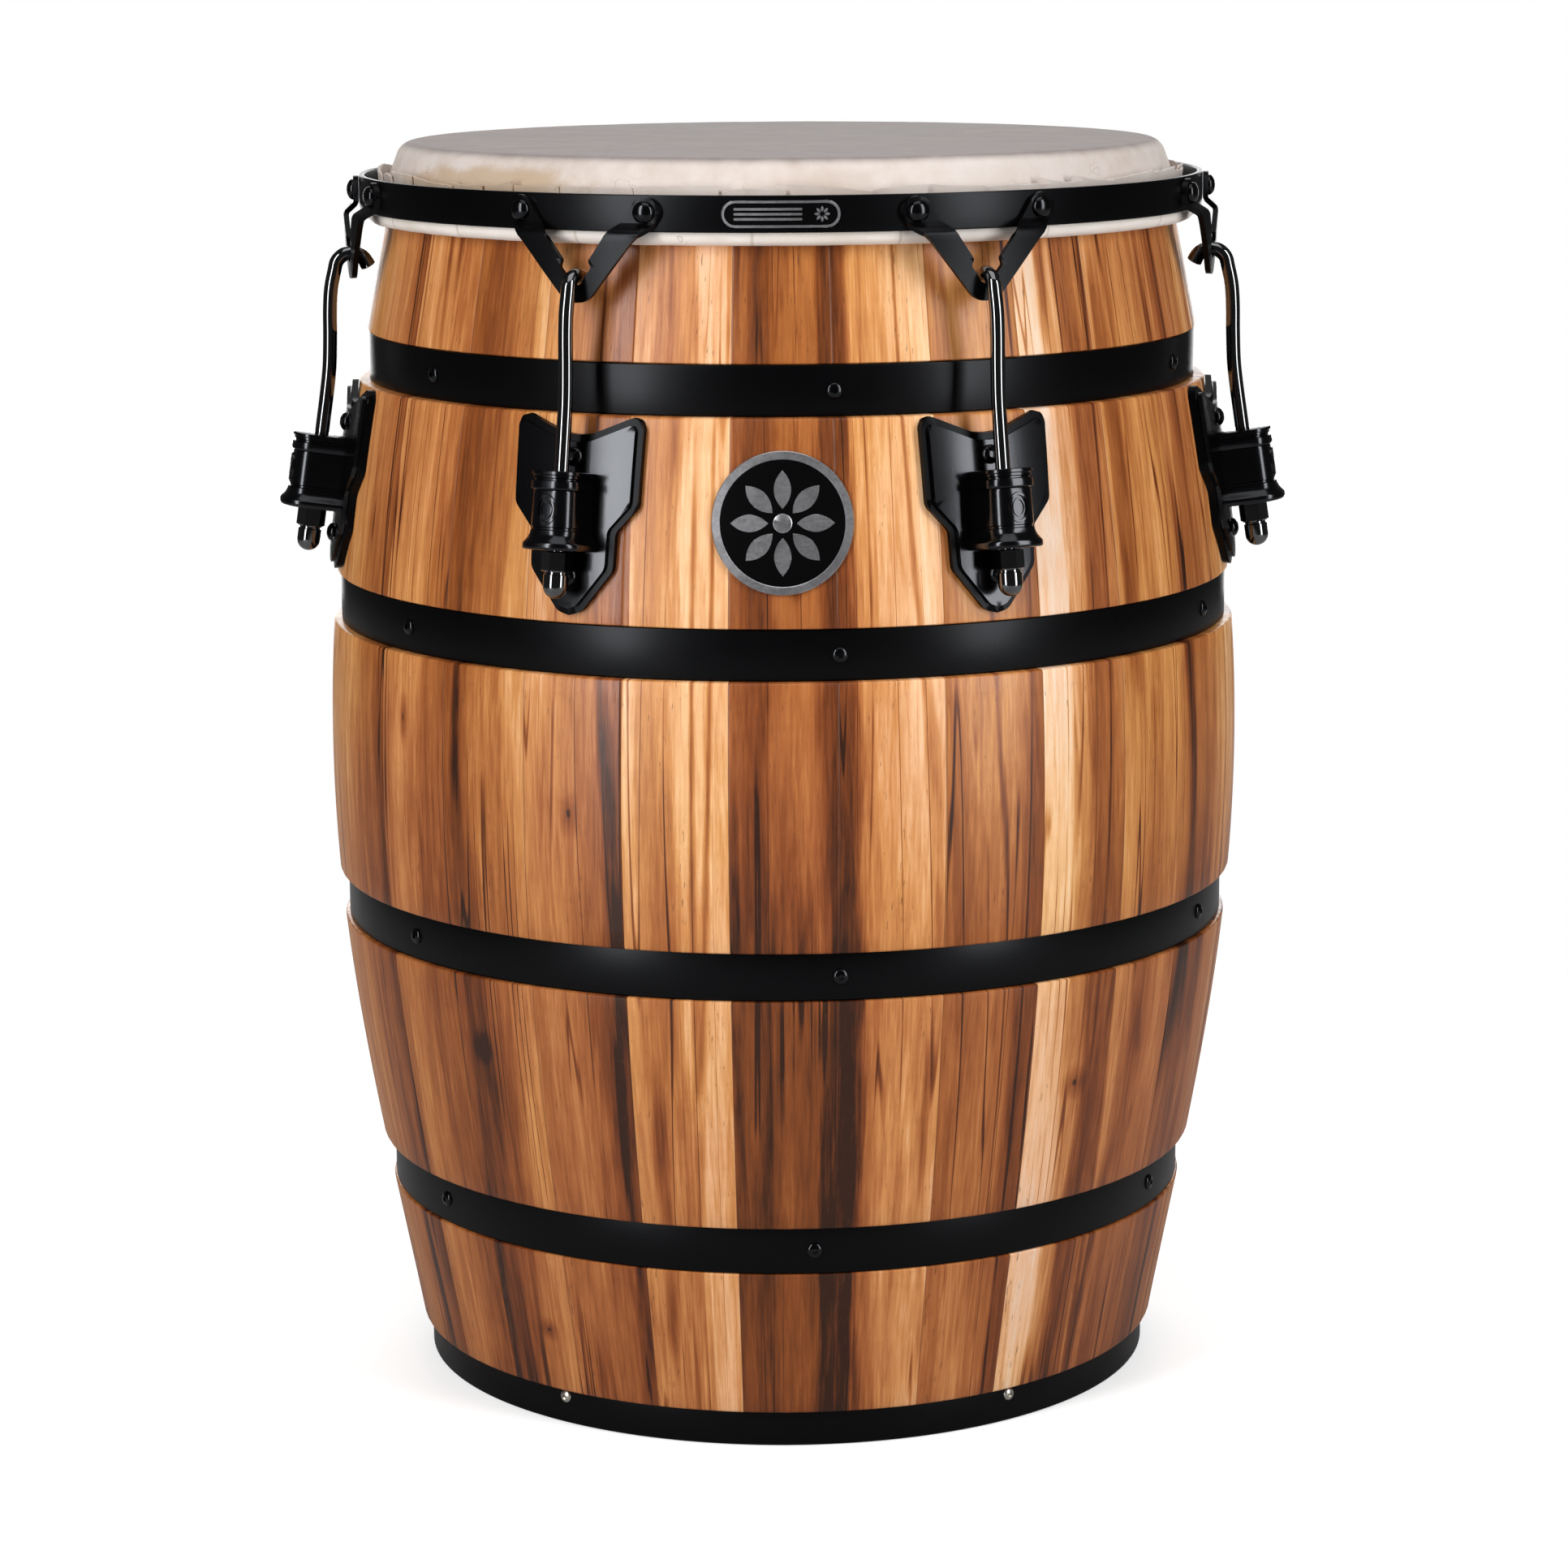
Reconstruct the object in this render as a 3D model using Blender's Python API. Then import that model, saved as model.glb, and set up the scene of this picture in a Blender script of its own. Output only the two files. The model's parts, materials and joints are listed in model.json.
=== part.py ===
"""A barrel-shaped hand drum of the conga family: a stave shell with steel hoops, a natural skin on a flesh hoop,
and seven tuning stations, each a V bracket on the rim, a hook rod, a cased side plate and a domed tuning nut.

Metres, +Z up. The player's side faces -Y. A "station" is one tuning point, modelled at the front of the drum
(outward is -Y) and turned about the drum's axis to its place.
"""

import bisect
import math

import bmesh
import bpy
from mathutils import Matrix, Vector

MM = 0.001
GAP = 0.3 * MM  # between pieces that touch

# Barrel shell
STATIONS = 7
SIDES = 5 * STATIONS  # facets round every large ring
BELLY_RADIUS = 263.6 * MM
BELLY_HEIGHT = 366.3 * MM
END_DROP = 48.9 * MM  # how much narrower the barrel is one SPAN away from the belly
SPAN = 360.0 * MM
FULLNESS = 0.36  # above 0 the ends run straighter than a parabola
WALL = 12.0 * MM
WALL_STEPS = 7  # rings of the wall's inside, counted from the top


def barrel_radius(height):
    """Outside radius of the turned staves."""
    t2 = ((height - BELLY_HEIGHT) / SPAN) ** 2
    return BELLY_RADIUS - END_DROP * ((1 + FULLNESS) * t2 - FULLNESS * t2 * t2)


# The head, the rim and the tuning gear are placed down from the head's top.
HEAD_TOP = 711.0 * MM
ROD_LINE_HEIGHT = HEAD_TOP - 161.5 * MM  # where the rod line enters the casing
CASING_LENGTH = 41.7 * MM
LOWER_BOLT_DROP = CASING_LENGTH + 14.5 * MM  # the nut hangs in front of this bolt

# Steel hoops: (name, bottom, width, how far the outside lies below the staves at the hoop's narrower edge).
# The upper two frame the side plates.
HOOPS = [
    ("shell_hoop_1", ROD_LINE_HEIGHT + 27.8 * MM, 27.1 * MM, 0.58 * MM),
    ("shell_hoop_2", ROD_LINE_HEIGHT - CASING_LENGTH - 68.4 * MM, 27.5 * MM, 1.91 * MM),
    ("shell_hoop_3", 265.6 * MM, 26.3 * MM, 2.40 * MM),
    ("shell_hoop_4", 106.1 * MM, 26.7 * MM, 1.26 * MM),
    ("base_hoop", 0.5 * MM, 20.0 * MM, 1.20 * MM),
]
HOOP_THICKNESS = 2.6 * MM

# Head
SKIN = 1.6 * MM
SHELL_TOP = HEAD_TOP - SKIN - 2 * GAP
COLLAR_HEIGHT = HEAD_TOP - 18.0 * MM
COLLAR_RADIUS = barrel_radius(COLLAR_HEIGHT) + 2.83 * MM  # outside of the skin there
COLLAR_SLOPE = math.radians(21.0)  # from vertical
CROWN_ROUNDING = 10.0 * MM
ROLL_RADIUS = 6.0 * MM  # skin wrapped round the flesh hoop
ROLL_HEIGHT = HEAD_TOP - 38.7 * MM
ROLL_CLEARANCE = 0.66 * MM  # the roll hangs clear of the staves
ROLL_CENTRE = barrel_radius(ROLL_HEIGHT) + ROLL_CLEARANCE + ROLL_RADIUS
FLAP_TOP = HEAD_TOP - 14.5 * MM
# the cut edge of the skin, from the roll's centre: how far inwards at its foot and at its top, and its foot's rise
FLAP_FOOT, FLAP_LEAN, FLAP_RISE = 3.2 * MM, 3.0 * MM, 2.6 * MM

# Tuning rim
RIM_THICKNESS = 3.0 * MM
RIM_CLEARANCE = 0.6 * MM  # between the roll and the inside of the band
RIM_RADIUS = ROLL_CENTRE + ROLL_RADIUS + RIM_CLEARANCE + RIM_THICKNESS
RIM_TOP = HEAD_TOP - 17.9 * MM
RIM_WIDTH = 19.4 * MM
RIM_BOTTOM = RIM_TOP - RIM_WIDTH
LIP_WIDTH = 5.6 * MM
LIP_HEIGHT = 3.5 * MM

# Rim bracket: a bent sheet. Its profile runs down the middle of the sheet, (radius, height).
BRACKET_THICKNESS = 3.0 * MM
BRACKET_JOG = 6.2 * MM  # how far the legs stand out from the tabs
BRACKET_TIP_LEAN = 1.5 * MM
JOG_TOP = RIM_BOTTOM + 3.8 * MM
JOG_BOTTOM = RIM_BOTTOM - 1.4 * MM
TAB_CENTRE = (37.0 * MM, RIM_TOP - 9.1 * MM)
TAB_RADIUS = 8.0 * MM
BRACKET_TIP = RIM_TOP - 56.5 * MM
BRACKET_OVERRUN = 1.0 * MM  # the profile runs on past the outline at both ends
BRACKET_CREASE = 30.0 * MM  # a bend on each side lets the sheet follow the rim
SEAT_DROP = 1.3 * MM  # the hook's underside to the bottom of the seat
SEAT_HALF_WIDTH, SEAT_RISE = 3.0 * MM, 0.6 * MM
# Half outline of the V below the tab, (sideways, height above the tip): inner edge from the hook's seat up, outer
# edge down to the tip
BRACKET_INNER = [
    (5.6 * MM, 13.9 * MM),
    (9.3 * MM, 18.6 * MM),
    (7.8 * MM, 22.2 * MM),
    (17.6 * MM, JOG_BOTTOM - BRACKET_TIP),
    (23.5 * MM, JOG_TOP - BRACKET_TIP),
]
BRACKET_OUTER = [
    (42.6 * MM, JOG_TOP - BRACKET_TIP),
    (32.6 * MM, 32.4 * MM),
    (8.3 * MM, 2.7 * MM),
    (4.4 * MM, 0.4 * MM),
]

# Side plate and gasket: half outline from the top notch to the lower tip, (sideways, height above the rod line's
# entry into the casing)
PLATE_OUTLINE = [
    (0.0, 17.5 * MM),
    (8.0 * MM, 18.1 * MM),
    (31.0 * MM, 27.3 * MM),
    (35.5 * MM, 25.9 * MM),
    (37.4 * MM, 21.5 * MM),
    (36.8 * MM, -19.5 * MM),
    (25.0 * MM, -33.0 * MM),
    (24.5 * MM, -CASING_LENGTH - 11.3 * MM),
    (7.0 * MM, -CASING_LENGTH - 33.5 * MM),
    (0.0, -CASING_LENGTH - 35.5 * MM),
]
PLATE_MARGIN = 2.7 * MM  # how far the gasket shows round the plate
GASKET_THICKNESS = 3.6 * MM
PLATE_THICKNESS = 2.2 * MM
PLATE_CREASES = [-25.5 * MM, -12.2 * MM, 0.0, 12.2 * MM, 25.5 * MM]
PLATE_WAIST = ROD_LINE_HEIGHT - 27.5 * MM
GASKET_BACK = 2 * GAP  # off the turned barrel, whose facets lie inside it
PLATE_BACK = GASKET_BACK + GASKET_THICKNESS + GAP
BOLT_SEAT = PLATE_BACK + PLATE_THICKNESS + GAP

# Hook rod. Its straight part lies on the rod line, which leans out going down, a little more than the shell does.
ROD_RADIUS = 4.0 * MM
ROD_SIDES = 8
ROD_LEAN = math.radians(0.46)
ROD_TILT = ROD_LEAN + math.atan2(
    barrel_radius(ROD_LINE_HEIGHT - LOWER_BOLT_DROP) - barrel_radius(ROD_LINE_HEIGHT), LOWER_BOLT_DROP
)
ROD_STAND_OFF = 13.24 * MM  # the rod line's start to the face of the side plate
ROD_LINE_RADIUS = barrel_radius(ROD_LINE_HEIGHT) + PLATE_BACK + PLATE_THICKNESS + ROD_STAND_OFF
HOOK_EYE = 5.7 * MM  # clear radius inside the hook
HOOK_RADIUS = HOOK_EYE + ROD_RADIUS
# the bracket's lower part hangs through the hook
BRACKET_LEG = RIM_RADIUS + GAP + BRACKET_THICKNESS / 2 + BRACKET_JOG
HOOK_CENTRE = (BRACKET_LEG - 0.7 * MM, BRACKET_TIP + 4.7 * MM)
HOOK_SWEEP = math.radians(165.0)
# the rod's bend below the hook: (outwards from the hook's outer side, down from its centre)
SHOULDER = [(2.4 * MM, 10.3 * MM), (3.6 * MM, 21.3 * MM), (3.2 * MM, 34.3 * MM)]
SHANK_TOP = HOOK_CENTRE[1] - 45.3 * MM
ROD_END_CLEARANCE = 4.0 * MM  # from the rod's end to the outside of the nut's dome
THREAD_PLAY = 0.35 * MM

# Casing and nut, along the rod line from the casing's top
CASING_HALF_WIDTH = 12.5 * MM
CASING_FRONT = 14.5 * MM
CASING_CORNER = 10.0 * MM
CAP_LENGTH, CAP_STAND_OUT = 9.5 * MM, 1.2 * MM
SKIRT_LENGTH, SKIRT_STAND_OUT = 3.7 * MM, 4.2 * MM
SKIRT_ROUNDING = 1.2 * MM
# (distance down from the top, how far the wall stands out from the casing's section)
CASING_ROWS = [
    (0.0, CAP_STAND_OUT),
    (CAP_LENGTH, CAP_STAND_OUT),
    (CAP_LENGTH + 0.7 * MM, 0.0),
    (CASING_LENGTH - SKIRT_LENGTH - 7.0 * MM, 0.3 * MM),
    (CASING_LENGTH - SKIRT_LENGTH, SKIRT_STAND_OUT),
    (CASING_LENGTH - SKIRT_ROUNDING, SKIRT_STAND_OUT),
    (CASING_LENGTH, SKIRT_STAND_OUT - SKIRT_ROUNDING),
]
NUT_WALL = 3.0 * MM  # from the rod to the hexagon's flats
NUT_HEX_LENGTH = 11.0 * MM
NUT_NECK_RADIUS = ROD_RADIUS + 1.9 * MM
NUT_NECK_LENGTH = 1.2 * MM
NUT_DOME_RADIUS = ROD_RADIUS + 2.6 * MM
NUT_LENGTH = 25.0 * MM

# Lug bolts, square to the rod line
BOLT_HEIGHTS = {
    "lug_bolt_upper": ROD_LINE_HEIGHT + 6.5 * MM,
    "lug_bolt_lower": ROD_LINE_HEIGHT - LOWER_BOLT_DROP,
}
BOLT_RADIUS = 3.0 * MM
BOLT_HEAD_RADIUS = 5.2 * MM
BOLT_HEAD_HEIGHT = 3.4 * MM
BOLT_NUT_ACROSS_FLATS = 10.0 * MM
BOLT_NUT_LENGTH = 5.0 * MM
WASHER_RADIUS = 8.0 * MM
WASHER_THICKNESS = 1.5 * MM
WASHER_CLEARANCE = 0.05 * MM  # from the wall, at the rim of the washer
DRILL_OVERRUN = 10.0 * MM  # how far a drill runs past what it cuts

# Plain round badge on the shell and small plate on the rim, both at the front
BADGE_RADIUS = 37.5 * MM
BADGE_HEIGHT = ROD_LINE_HEIGHT - 26.5 * MM
BADGE_THICKNESS = 1.2 * MM
RIM_PLATE_LENGTH = 62.0 * MM
RIM_PLATE_WIDTH = 14.0 * MM
RIM_PLATE_HEIGHT = RIM_TOP - 9.6 * MM
RIM_PLATE_THICKNESS = 0.9 * MM

# Finishes: name, colour, roughness, metallic
FINISHES = {
    "stave_wood": ((0.52, 0.27, 0.12), 0.38, 0.0),
    "natural_skin": ((0.72, 0.63, 0.53), 0.62, 0.0),
    "satin_black_steel": ((0.018, 0.018, 0.021), 0.42, 0.8),
    "gloss_black_steel": ((0.008, 0.008, 0.009), 0.12, 0.8),
    "black_casting": ((0.014, 0.014, 0.016), 0.25, 0.7),
    "black_rubber": ((0.010, 0.010, 0.010), 0.75, 0.0),
    "zinc_steel": ((0.55, 0.55, 0.56), 0.35, 1.0),
    "badge_metal": ((0.30, 0.30, 0.31), 0.35, 0.9),
}

SIN_TILT, COS_TILT = math.sin(ROD_TILT), math.cos(ROD_TILT)
# The farthest thing from the axis is the lip of a casing's skirt; one station is at the back and two beside the
# front, so the axis stands forward of the middle of the drum's box, which is the origin.
LUG_REACH = (
    ROD_LINE_RADIUS
    + (CASING_LENGTH - SKIRT_ROUNDING) * SIN_TILT
    + (CASING_FRONT + SKIRT_STAND_OUT) * COS_TILT
)
AXIS_Y = -LUG_REACH * (1 - math.cos(math.pi / STATIONS)) / 2


def rod_line(down, out=0.0):
    """(radius, height) of a point this far down the rod line and this far outward from it."""
    return (
        ROD_LINE_RADIUS + down * SIN_TILT + out * COS_TILT,
        ROD_LINE_HEIGHT - down * COS_TILT + out * SIN_TILT,
    )


def interpolate(points, height):
    """Radius at a height on a profile whose points are sorted by rising height."""
    heights = [z for _, z in points]
    i = min(max(bisect.bisect_left(heights, height), 1), len(points) - 1)
    (r0, z0), (r1, z1) = points[i - 1], points[i]
    return r0 + (r1 - r0) * (height - z0) / (z1 - z0)


# ---------------------------------------------------------------- making meshes


def finish(bm, name):
    """Merge, point the faces outwards and store a mesh."""
    bmesh.ops.remove_doubles(bm, verts=bm.verts, dist=1e-6)
    bmesh.ops.recalc_face_normals(bm, faces=bm.faces)
    mesh = bpy.data.meshes.new(name)
    bm.to_mesh(mesh)
    bm.free()
    mesh.shade_smooth()
    mesh.set_sharp_from_angle(angle=math.radians(35))
    return mesh


def revolve(profile, sides, closed, across=None):
    """A mesh turned about Z from (radius, height) points. Points at radius 0 are poles.

    across, if given, names the point numbers that are hexagonal, where the radius is to the flats.
    """
    bm = bmesh.new()
    rings = []
    for number, (radius, height) in enumerate(profile):
        if radius == 0:
            rings.append([bm.verts.new((0, 0, height))] * sides)
            continue
        ring = []
        for side in range(sides):
            angle = math.tau * side / sides
            corner = angle % (math.pi / 3) - math.pi / 6
            reach = radius / math.cos(corner) if across and number in across else radius
            ring.append(bm.verts.new((reach * math.sin(angle), -reach * math.cos(angle), height)))
        rings.append(ring)
    pairs = list(zip(rings, rings[1:]))
    if closed:
        pairs.append((rings[-1], rings[0]))
    for lower, upper in pairs:
        for side in range(sides):
            after = (side + 1) % sides
            corners = [lower[side], lower[after], upper[after], upper[side]]
            bm.faces.new(dict.fromkeys(corners))
    return bm


def sheet_from_outline(outline, cuts):
    """A flat face in X and Z with this outline, cut along the given (point, direction) lines."""
    bm = bmesh.new()
    bm.faces.new([bm.verts.new((x, 0, z)) for x, z in outline])
    for point, normal in cuts:
        geometry = bm.verts[:] + bm.edges[:] + bm.faces[:]
        bmesh.ops.bisect_plane(bm, geom=geometry, dist=1e-7, plane_co=point, plane_no=normal)
    return bm


def thicken(bm, inner, outer):
    """Give a flat sheet two sides: inner and outer each map (sideways, height) to a point."""
    flat = {v: (v.co.x, v.co.z) for v in bm.verts}
    edges = [(e.verts[0], e.verts[1]) for e in bm.edges if e.is_boundary]
    faces = [list(f.verts) for f in bm.faces]
    far = {v: bm.verts.new(outer(*at)) for v, at in flat.items()}
    for v, at in flat.items():
        v.co = inner(*at)
    for face in faces:
        bm.faces.new([far[v] for v in reversed(face)])
    for a, b in edges:
        bm.faces.new([a, b, far[b], far[a]])
    return bm


def mirrored(half):
    """The whole outline from the half at positive X, whose first and last points are on X = 0."""
    return half + [(-x, z) for x, z in reversed(half[1:-1])]


def large_ring(profile, closed=True):
    """A ring of the drum. SIDES is an odd multiple of STATIONS, so every station has a facet's middle."""
    return revolve(profile, SIDES, closed)


# ---------------------------------------------------------------- placing objects


def make_material(name, colour, roughness, metallic):
    material = bpy.data.materials.new(name)
    material.use_nodes = True
    shader = material.node_tree.nodes["Principled BSDF"]
    shader.inputs["Base Color"].default_value = (*colour, 1)
    shader.inputs["Roughness"].default_value = roughness
    shader.inputs["Metallic"].default_value = metallic
    return material


def place(name, mesh, finish_name, parent):
    """One named sub-part under its parent empty."""
    if not mesh.materials:
        mesh.materials.append(bpy.data.materials[finish_name])
    piece = bpy.data.objects.new(name, mesh)
    bpy.context.collection.objects.link(piece)
    piece.parent = parent
    return piece


def empty(name, parent, location=(0, 0, 0), rotation=(0, 0, 0)):
    marker = bpy.data.objects.new(name, None)
    bpy.context.collection.objects.link(marker)
    marker.parent = parent
    marker.location = location
    marker.rotation_euler = rotation
    return marker


def combined(mesh, others, operation):
    """The mesh after a Boolean with each of the others, as a new mesh."""
    body = bpy.data.objects.new("body", mesh)
    bpy.context.collection.objects.link(body)
    tools = []
    for other in others:
        tool = bpy.data.objects.new("tool", other)
        bpy.context.collection.objects.link(tool)
        boolean = body.modifiers.new("boolean", "BOOLEAN")
        boolean.operation = operation
        boolean.object = tool
        tools.append(tool)
    graph = bpy.context.evaluated_depsgraph_get()
    result = bpy.data.meshes.new_from_object(body.evaluated_get(graph))
    for unused in [body, *tools]:
        bpy.data.objects.remove(unused)
    result.name = mesh.name
    return result


# ---------------------------------------------------------------- shell, hoops and head


def crown_arc(inset, steps):
    """The head's outside from the collar to the flat top, moved inwards by inset, as (radius, height)."""
    slope = COLLAR_SLOPE
    radius = CROWN_ROUNDING - inset
    top = HEAD_TOP - inset
    # the collar line, moved square to itself, and the centre of the arc that touches it and the top
    line = COLLAR_RADIUS - inset / math.cos(slope) + COLLAR_HEIGHT * math.tan(slope)
    centre_height = top - radius
    centre = line - centre_height * math.tan(slope) - radius / math.cos(slope)
    arc = []
    for step in range(steps + 1):
        angle = slope + (math.pi / 2 - slope) * step / steps
        arc.append((centre + radius * math.cos(angle), centre_height + radius * math.sin(angle)))
    return arc


def hoops():
    """(name, outer radius, bottom, top) of every hoop."""
    sizes = []
    for name, bottom, width, depth in HOOPS:
        top = bottom + width
        sizes.append((name, min(barrel_radius(bottom), barrel_radius(top)) - depth, bottom, top))
    return sizes


def shell_mesh():
    """The glued staves as one turned shell, open at the bottom, with a seat for each hoop."""
    outside = []
    for _, radius, bottom, top in reversed(hoops()):
        seat = radius - HOOP_THICKNESS - GAP
        low, high = bottom - GAP, top + GAP
        if low <= GAP:
            outside += [(seat, 0.0)]
        else:
            middle = (outside[-1][1] + low) / 2
            outside += [(barrel_radius(middle), middle), (barrel_radius(low), low), (seat, low)]
        outside += [(seat, high), (barrel_radius(high), high)]
    edge = crown_arc(SKIN + 2 * GAP, 3)
    middle = (outside[-1][1] + COLLAR_HEIGHT) / 2
    outside += [(barrel_radius(z), z) for z in (middle, COLLAR_HEIGHT)]
    levels = [SHELL_TOP * step / WALL_STEPS for step in range(WALL_STEPS, -1, -1)]
    inside = [(barrel_radius(z) - WALL, z) for z in levels]
    bm = large_ring(outside + edge + inside)
    mesh = finish(bm, "stave_shell")
    drills = [
        bolt_drill(height, turn) for turn in station_turns() for height in BOLT_HEIGHTS.values()
    ]
    return combined(mesh, drills, "DIFFERENCE")


def hoop_mesh(name, radius, bottom, top):
    inner = radius - HOOP_THICKNESS
    profile = [(inner, bottom), (radius, bottom), (radius, top), (inner, top)]
    return finish(large_ring(profile), name)


def skin_path():
    """The middle of the skin's thickness: crown, collar, once round the flesh hoop, and the cut edge."""
    half = SKIN / 2
    path = list(reversed(crown_arc(half, 2)))
    path.append((COLLAR_RADIUS - half / math.cos(COLLAR_SLOPE), COLLAR_HEIGHT))
    wrap = ROLL_RADIUS - half
    for degrees in range(175, 446, 45):
        angle = math.radians(degrees)
        path.append((ROLL_CENTRE + wrap * math.cos(angle), ROLL_HEIGHT + wrap * math.sin(angle)))
    path.append((ROLL_CENTRE - FLAP_FOOT, ROLL_HEIGHT + wrap + FLAP_RISE))
    path.append((ROLL_CENTRE - FLAP_LEAN, FLAP_TOP))
    return path


def skin_mesh():
    path = [Vector(p) for p in skin_path()]
    sides = {1: [], -1: []}
    for i, point in enumerate(path):
        before = (point - path[i - 1]).normalized() if i else Vector((1, 0))
        after = (path[i + 1] - point).normalized() if i + 1 < len(path) else before
        along = (before + after).normalized()
        square = Vector((-along.y, along.x))
        reach = SKIN / 2 / max(along.dot(after), 0.7)
        for side in sides:
            sides[side].append(tuple(point + square * reach * side))
    outer, inner = sides[1], sides[-1]
    top, under = HEAD_TOP, HEAD_TOP - SKIN
    profile = [(0, top), *outer, *reversed(inner), (0, under)]
    return finish(large_ring(profile, closed=False), "drum_skin")


def flesh_hoop_mesh():
    radius = (ROLL_RADIUS - SKIN) * math.cos(math.radians(22.5)) - GAP
    section = [math.tau * step / 6 for step in range(6)]
    profile = [
        (ROLL_CENTRE + radius * math.cos(a), ROLL_HEIGHT + radius * math.sin(a)) for a in section
    ]
    return finish(large_ring(profile), "flesh_hoop")


def rim_mesh():
    """The rim band with the inner lip that bears on the roll."""
    inner = RIM_RADIUS - RIM_THICKNESS
    lip = inner - LIP_WIDTH
    bottom = ROLL_HEIGHT + ROLL_RADIUS + GAP
    profile = [
        (inner, RIM_BOTTOM),
        (RIM_RADIUS, RIM_BOTTOM),
        (RIM_RADIUS, RIM_TOP),
        (inner, RIM_TOP),
        (inner, bottom + LIP_HEIGHT),
        (lip, bottom + LIP_HEIGHT),
        (lip, bottom),
        (inner, bottom),
    ]
    return finish(large_ring(profile), "tuning_rim")


# ---------------------------------------------------------------- one tuning station


def station_turns():
    """Angles from the front, the two front stations first and the back one last."""
    step = math.tau / STATIONS
    turns = [side * step * (row + 0.5) for row in range(STATIONS // 2) for side in (-1, 1)]
    return turns + [math.pi]


def on_shell(sideways, height, off):
    """A point this far outside the barrel, in the station's frame."""
    radius = barrel_radius(height) + off
    return Vector((sideways, -math.sqrt(radius**2 - sideways**2), height))


def plate_solid(outline, bottom, thickness):
    """A plate that lies on the barrel, from bottom to bottom + thickness off the staves."""
    cuts = [((x, 0, 0), (1, 0, 0)) for x in PLATE_CREASES] + [((0, 0, PLATE_WAIST), (0, 0, 1))]
    bm = sheet_from_outline(outline, cuts)

    def off_shell(off):
        return lambda x, z: on_shell(x, z, off)

    return thicken(bm, off_shell(bottom), off_shell(bottom + thickness))


def inset_outline(outline, margin):
    """The outline moved inwards by the margin, square to its edges."""
    bm = bmesh.new()
    face = bm.faces.new([bm.verts.new((x, z, 0)) for x, z in outline])
    bmesh.ops.inset_region(bm, faces=[face], thickness=margin, use_even_offset=True)
    moved = [(v.co.x, v.co.y) for v in face.verts]
    bm.free()
    return moved


def inner_wall_radius(height):
    """Inside of the faceted wall, at the middle of a facet."""
    rise = SHELL_TOP / WALL_STEPS
    below = math.floor(height / rise) * rise
    share = (height - below) / rise
    radius = barrel_radius(below) * (1 - share) + barrel_radius(below + rise) * share - WALL
    return radius * math.cos(math.pi / SIDES)


def washer_depth():
    """How far down a lug bolt its washer lies, flat inside the curved wall. All the bolts are alike."""
    depth = 0.0
    for height in BOLT_HEIGHTS.values():
        for edge in (-WASHER_RADIUS, WASHER_RADIUS):
            down = BOLT_SEAT + WALL
            for _ in range(3):
                wall = inner_wall_radius(height - down * SIN_TILT + edge * COS_TILT)
                down = (barrel_radius(height) + BOLT_SEAT - edge * SIN_TILT - wall) / COS_TILT
            depth = max(depth, down)
    return depth + WASHER_CLEARANCE


def bolt_frame(height, turn=0.0):
    """Matrix that puts a bolt, made along +Z with its head up and seated at Z = 0, on the plate."""
    seat = on_shell(0, height, BOLT_SEAT)
    tip_out = Matrix.Rotation(math.pi / 2 - ROD_TILT, 4, "X")
    return Matrix.Rotation(turn, 4, "Z") @ Matrix.Translation(seat) @ tip_out


def bolt_drill(height, turn=0.0):
    """The clearance hole of one lug bolt, as a solid to cut away."""
    reach = (BOLT_RADIUS + GAP) / math.cos(math.pi / 8)
    low, high = -(washer_depth() + DRILL_OVERRUN), DRILL_OVERRUN
    profile = [(0, low), (reach, low), (reach, high), (0, high)]
    bm = revolve(profile, 8, closed=False)
    bmesh.ops.transform(bm, matrix=bolt_frame(height, turn), verts=bm.verts)
    return finish(bm, "bolt_drill")


def bolt_mesh(height):
    """Round-head bolt with its washer and nut drawn up on the inside of the shell."""
    inside = -washer_depth()
    nut = inside - WASHER_THICKNESS
    end = nut - BOLT_NUT_LENGTH
    profile = [
        (0, BOLT_HEAD_HEIGHT),
        (BOLT_HEAD_RADIUS * 0.7, BOLT_HEAD_HEIGHT * 0.8),
        (BOLT_HEAD_RADIUS, 0),
        (BOLT_RADIUS, 0),
        (BOLT_RADIUS, inside),
        (WASHER_RADIUS, inside),
        (WASHER_RADIUS, nut),
        (BOLT_NUT_ACROSS_FLATS / 2, nut),
        (BOLT_NUT_ACROSS_FLATS / 2, end),
        (0, end),
    ]
    bm = revolve(profile, 12, closed=False, across={7, 8})
    bmesh.ops.transform(bm, matrix=bolt_frame(height), verts=bm.verts)
    return finish(bm, "lug_bolt")


def gasket_mesh(outline):
    bm = plate_solid(outline, GASKET_BACK, GASKET_THICKNESS)
    drills = [bolt_drill(height) for height in BOLT_HEIGHTS.values()]
    return combined(finish(bm, "lug_gasket"), drills, "DIFFERENCE")


def casing_section(stand_out, back):
    """Half-round front with straight walls back to the plate, as (sideways, outward) points."""
    half_width, front = CASING_HALF_WIDTH + stand_out, CASING_FRONT + stand_out
    corner = CASING_CORNER + stand_out
    right = [(half_width, back)]
    for step in range(4):
        angle = math.radians(30 * step)
        right.append(
            (
                half_width - corner + corner * math.cos(angle),
                front - corner + corner * math.sin(angle),
            )
        )
    return right + [(-x, y) for x, y in reversed(right)]


def rod_frame():
    """From the rod line's own frame (Z up the rod, -Y outward) to the station's frame."""
    origin = Vector((0, -ROD_LINE_RADIUS, ROD_LINE_HEIGHT))
    return Matrix.Translation(origin) @ Matrix.Rotation(-ROD_TILT, 4, "X")


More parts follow.
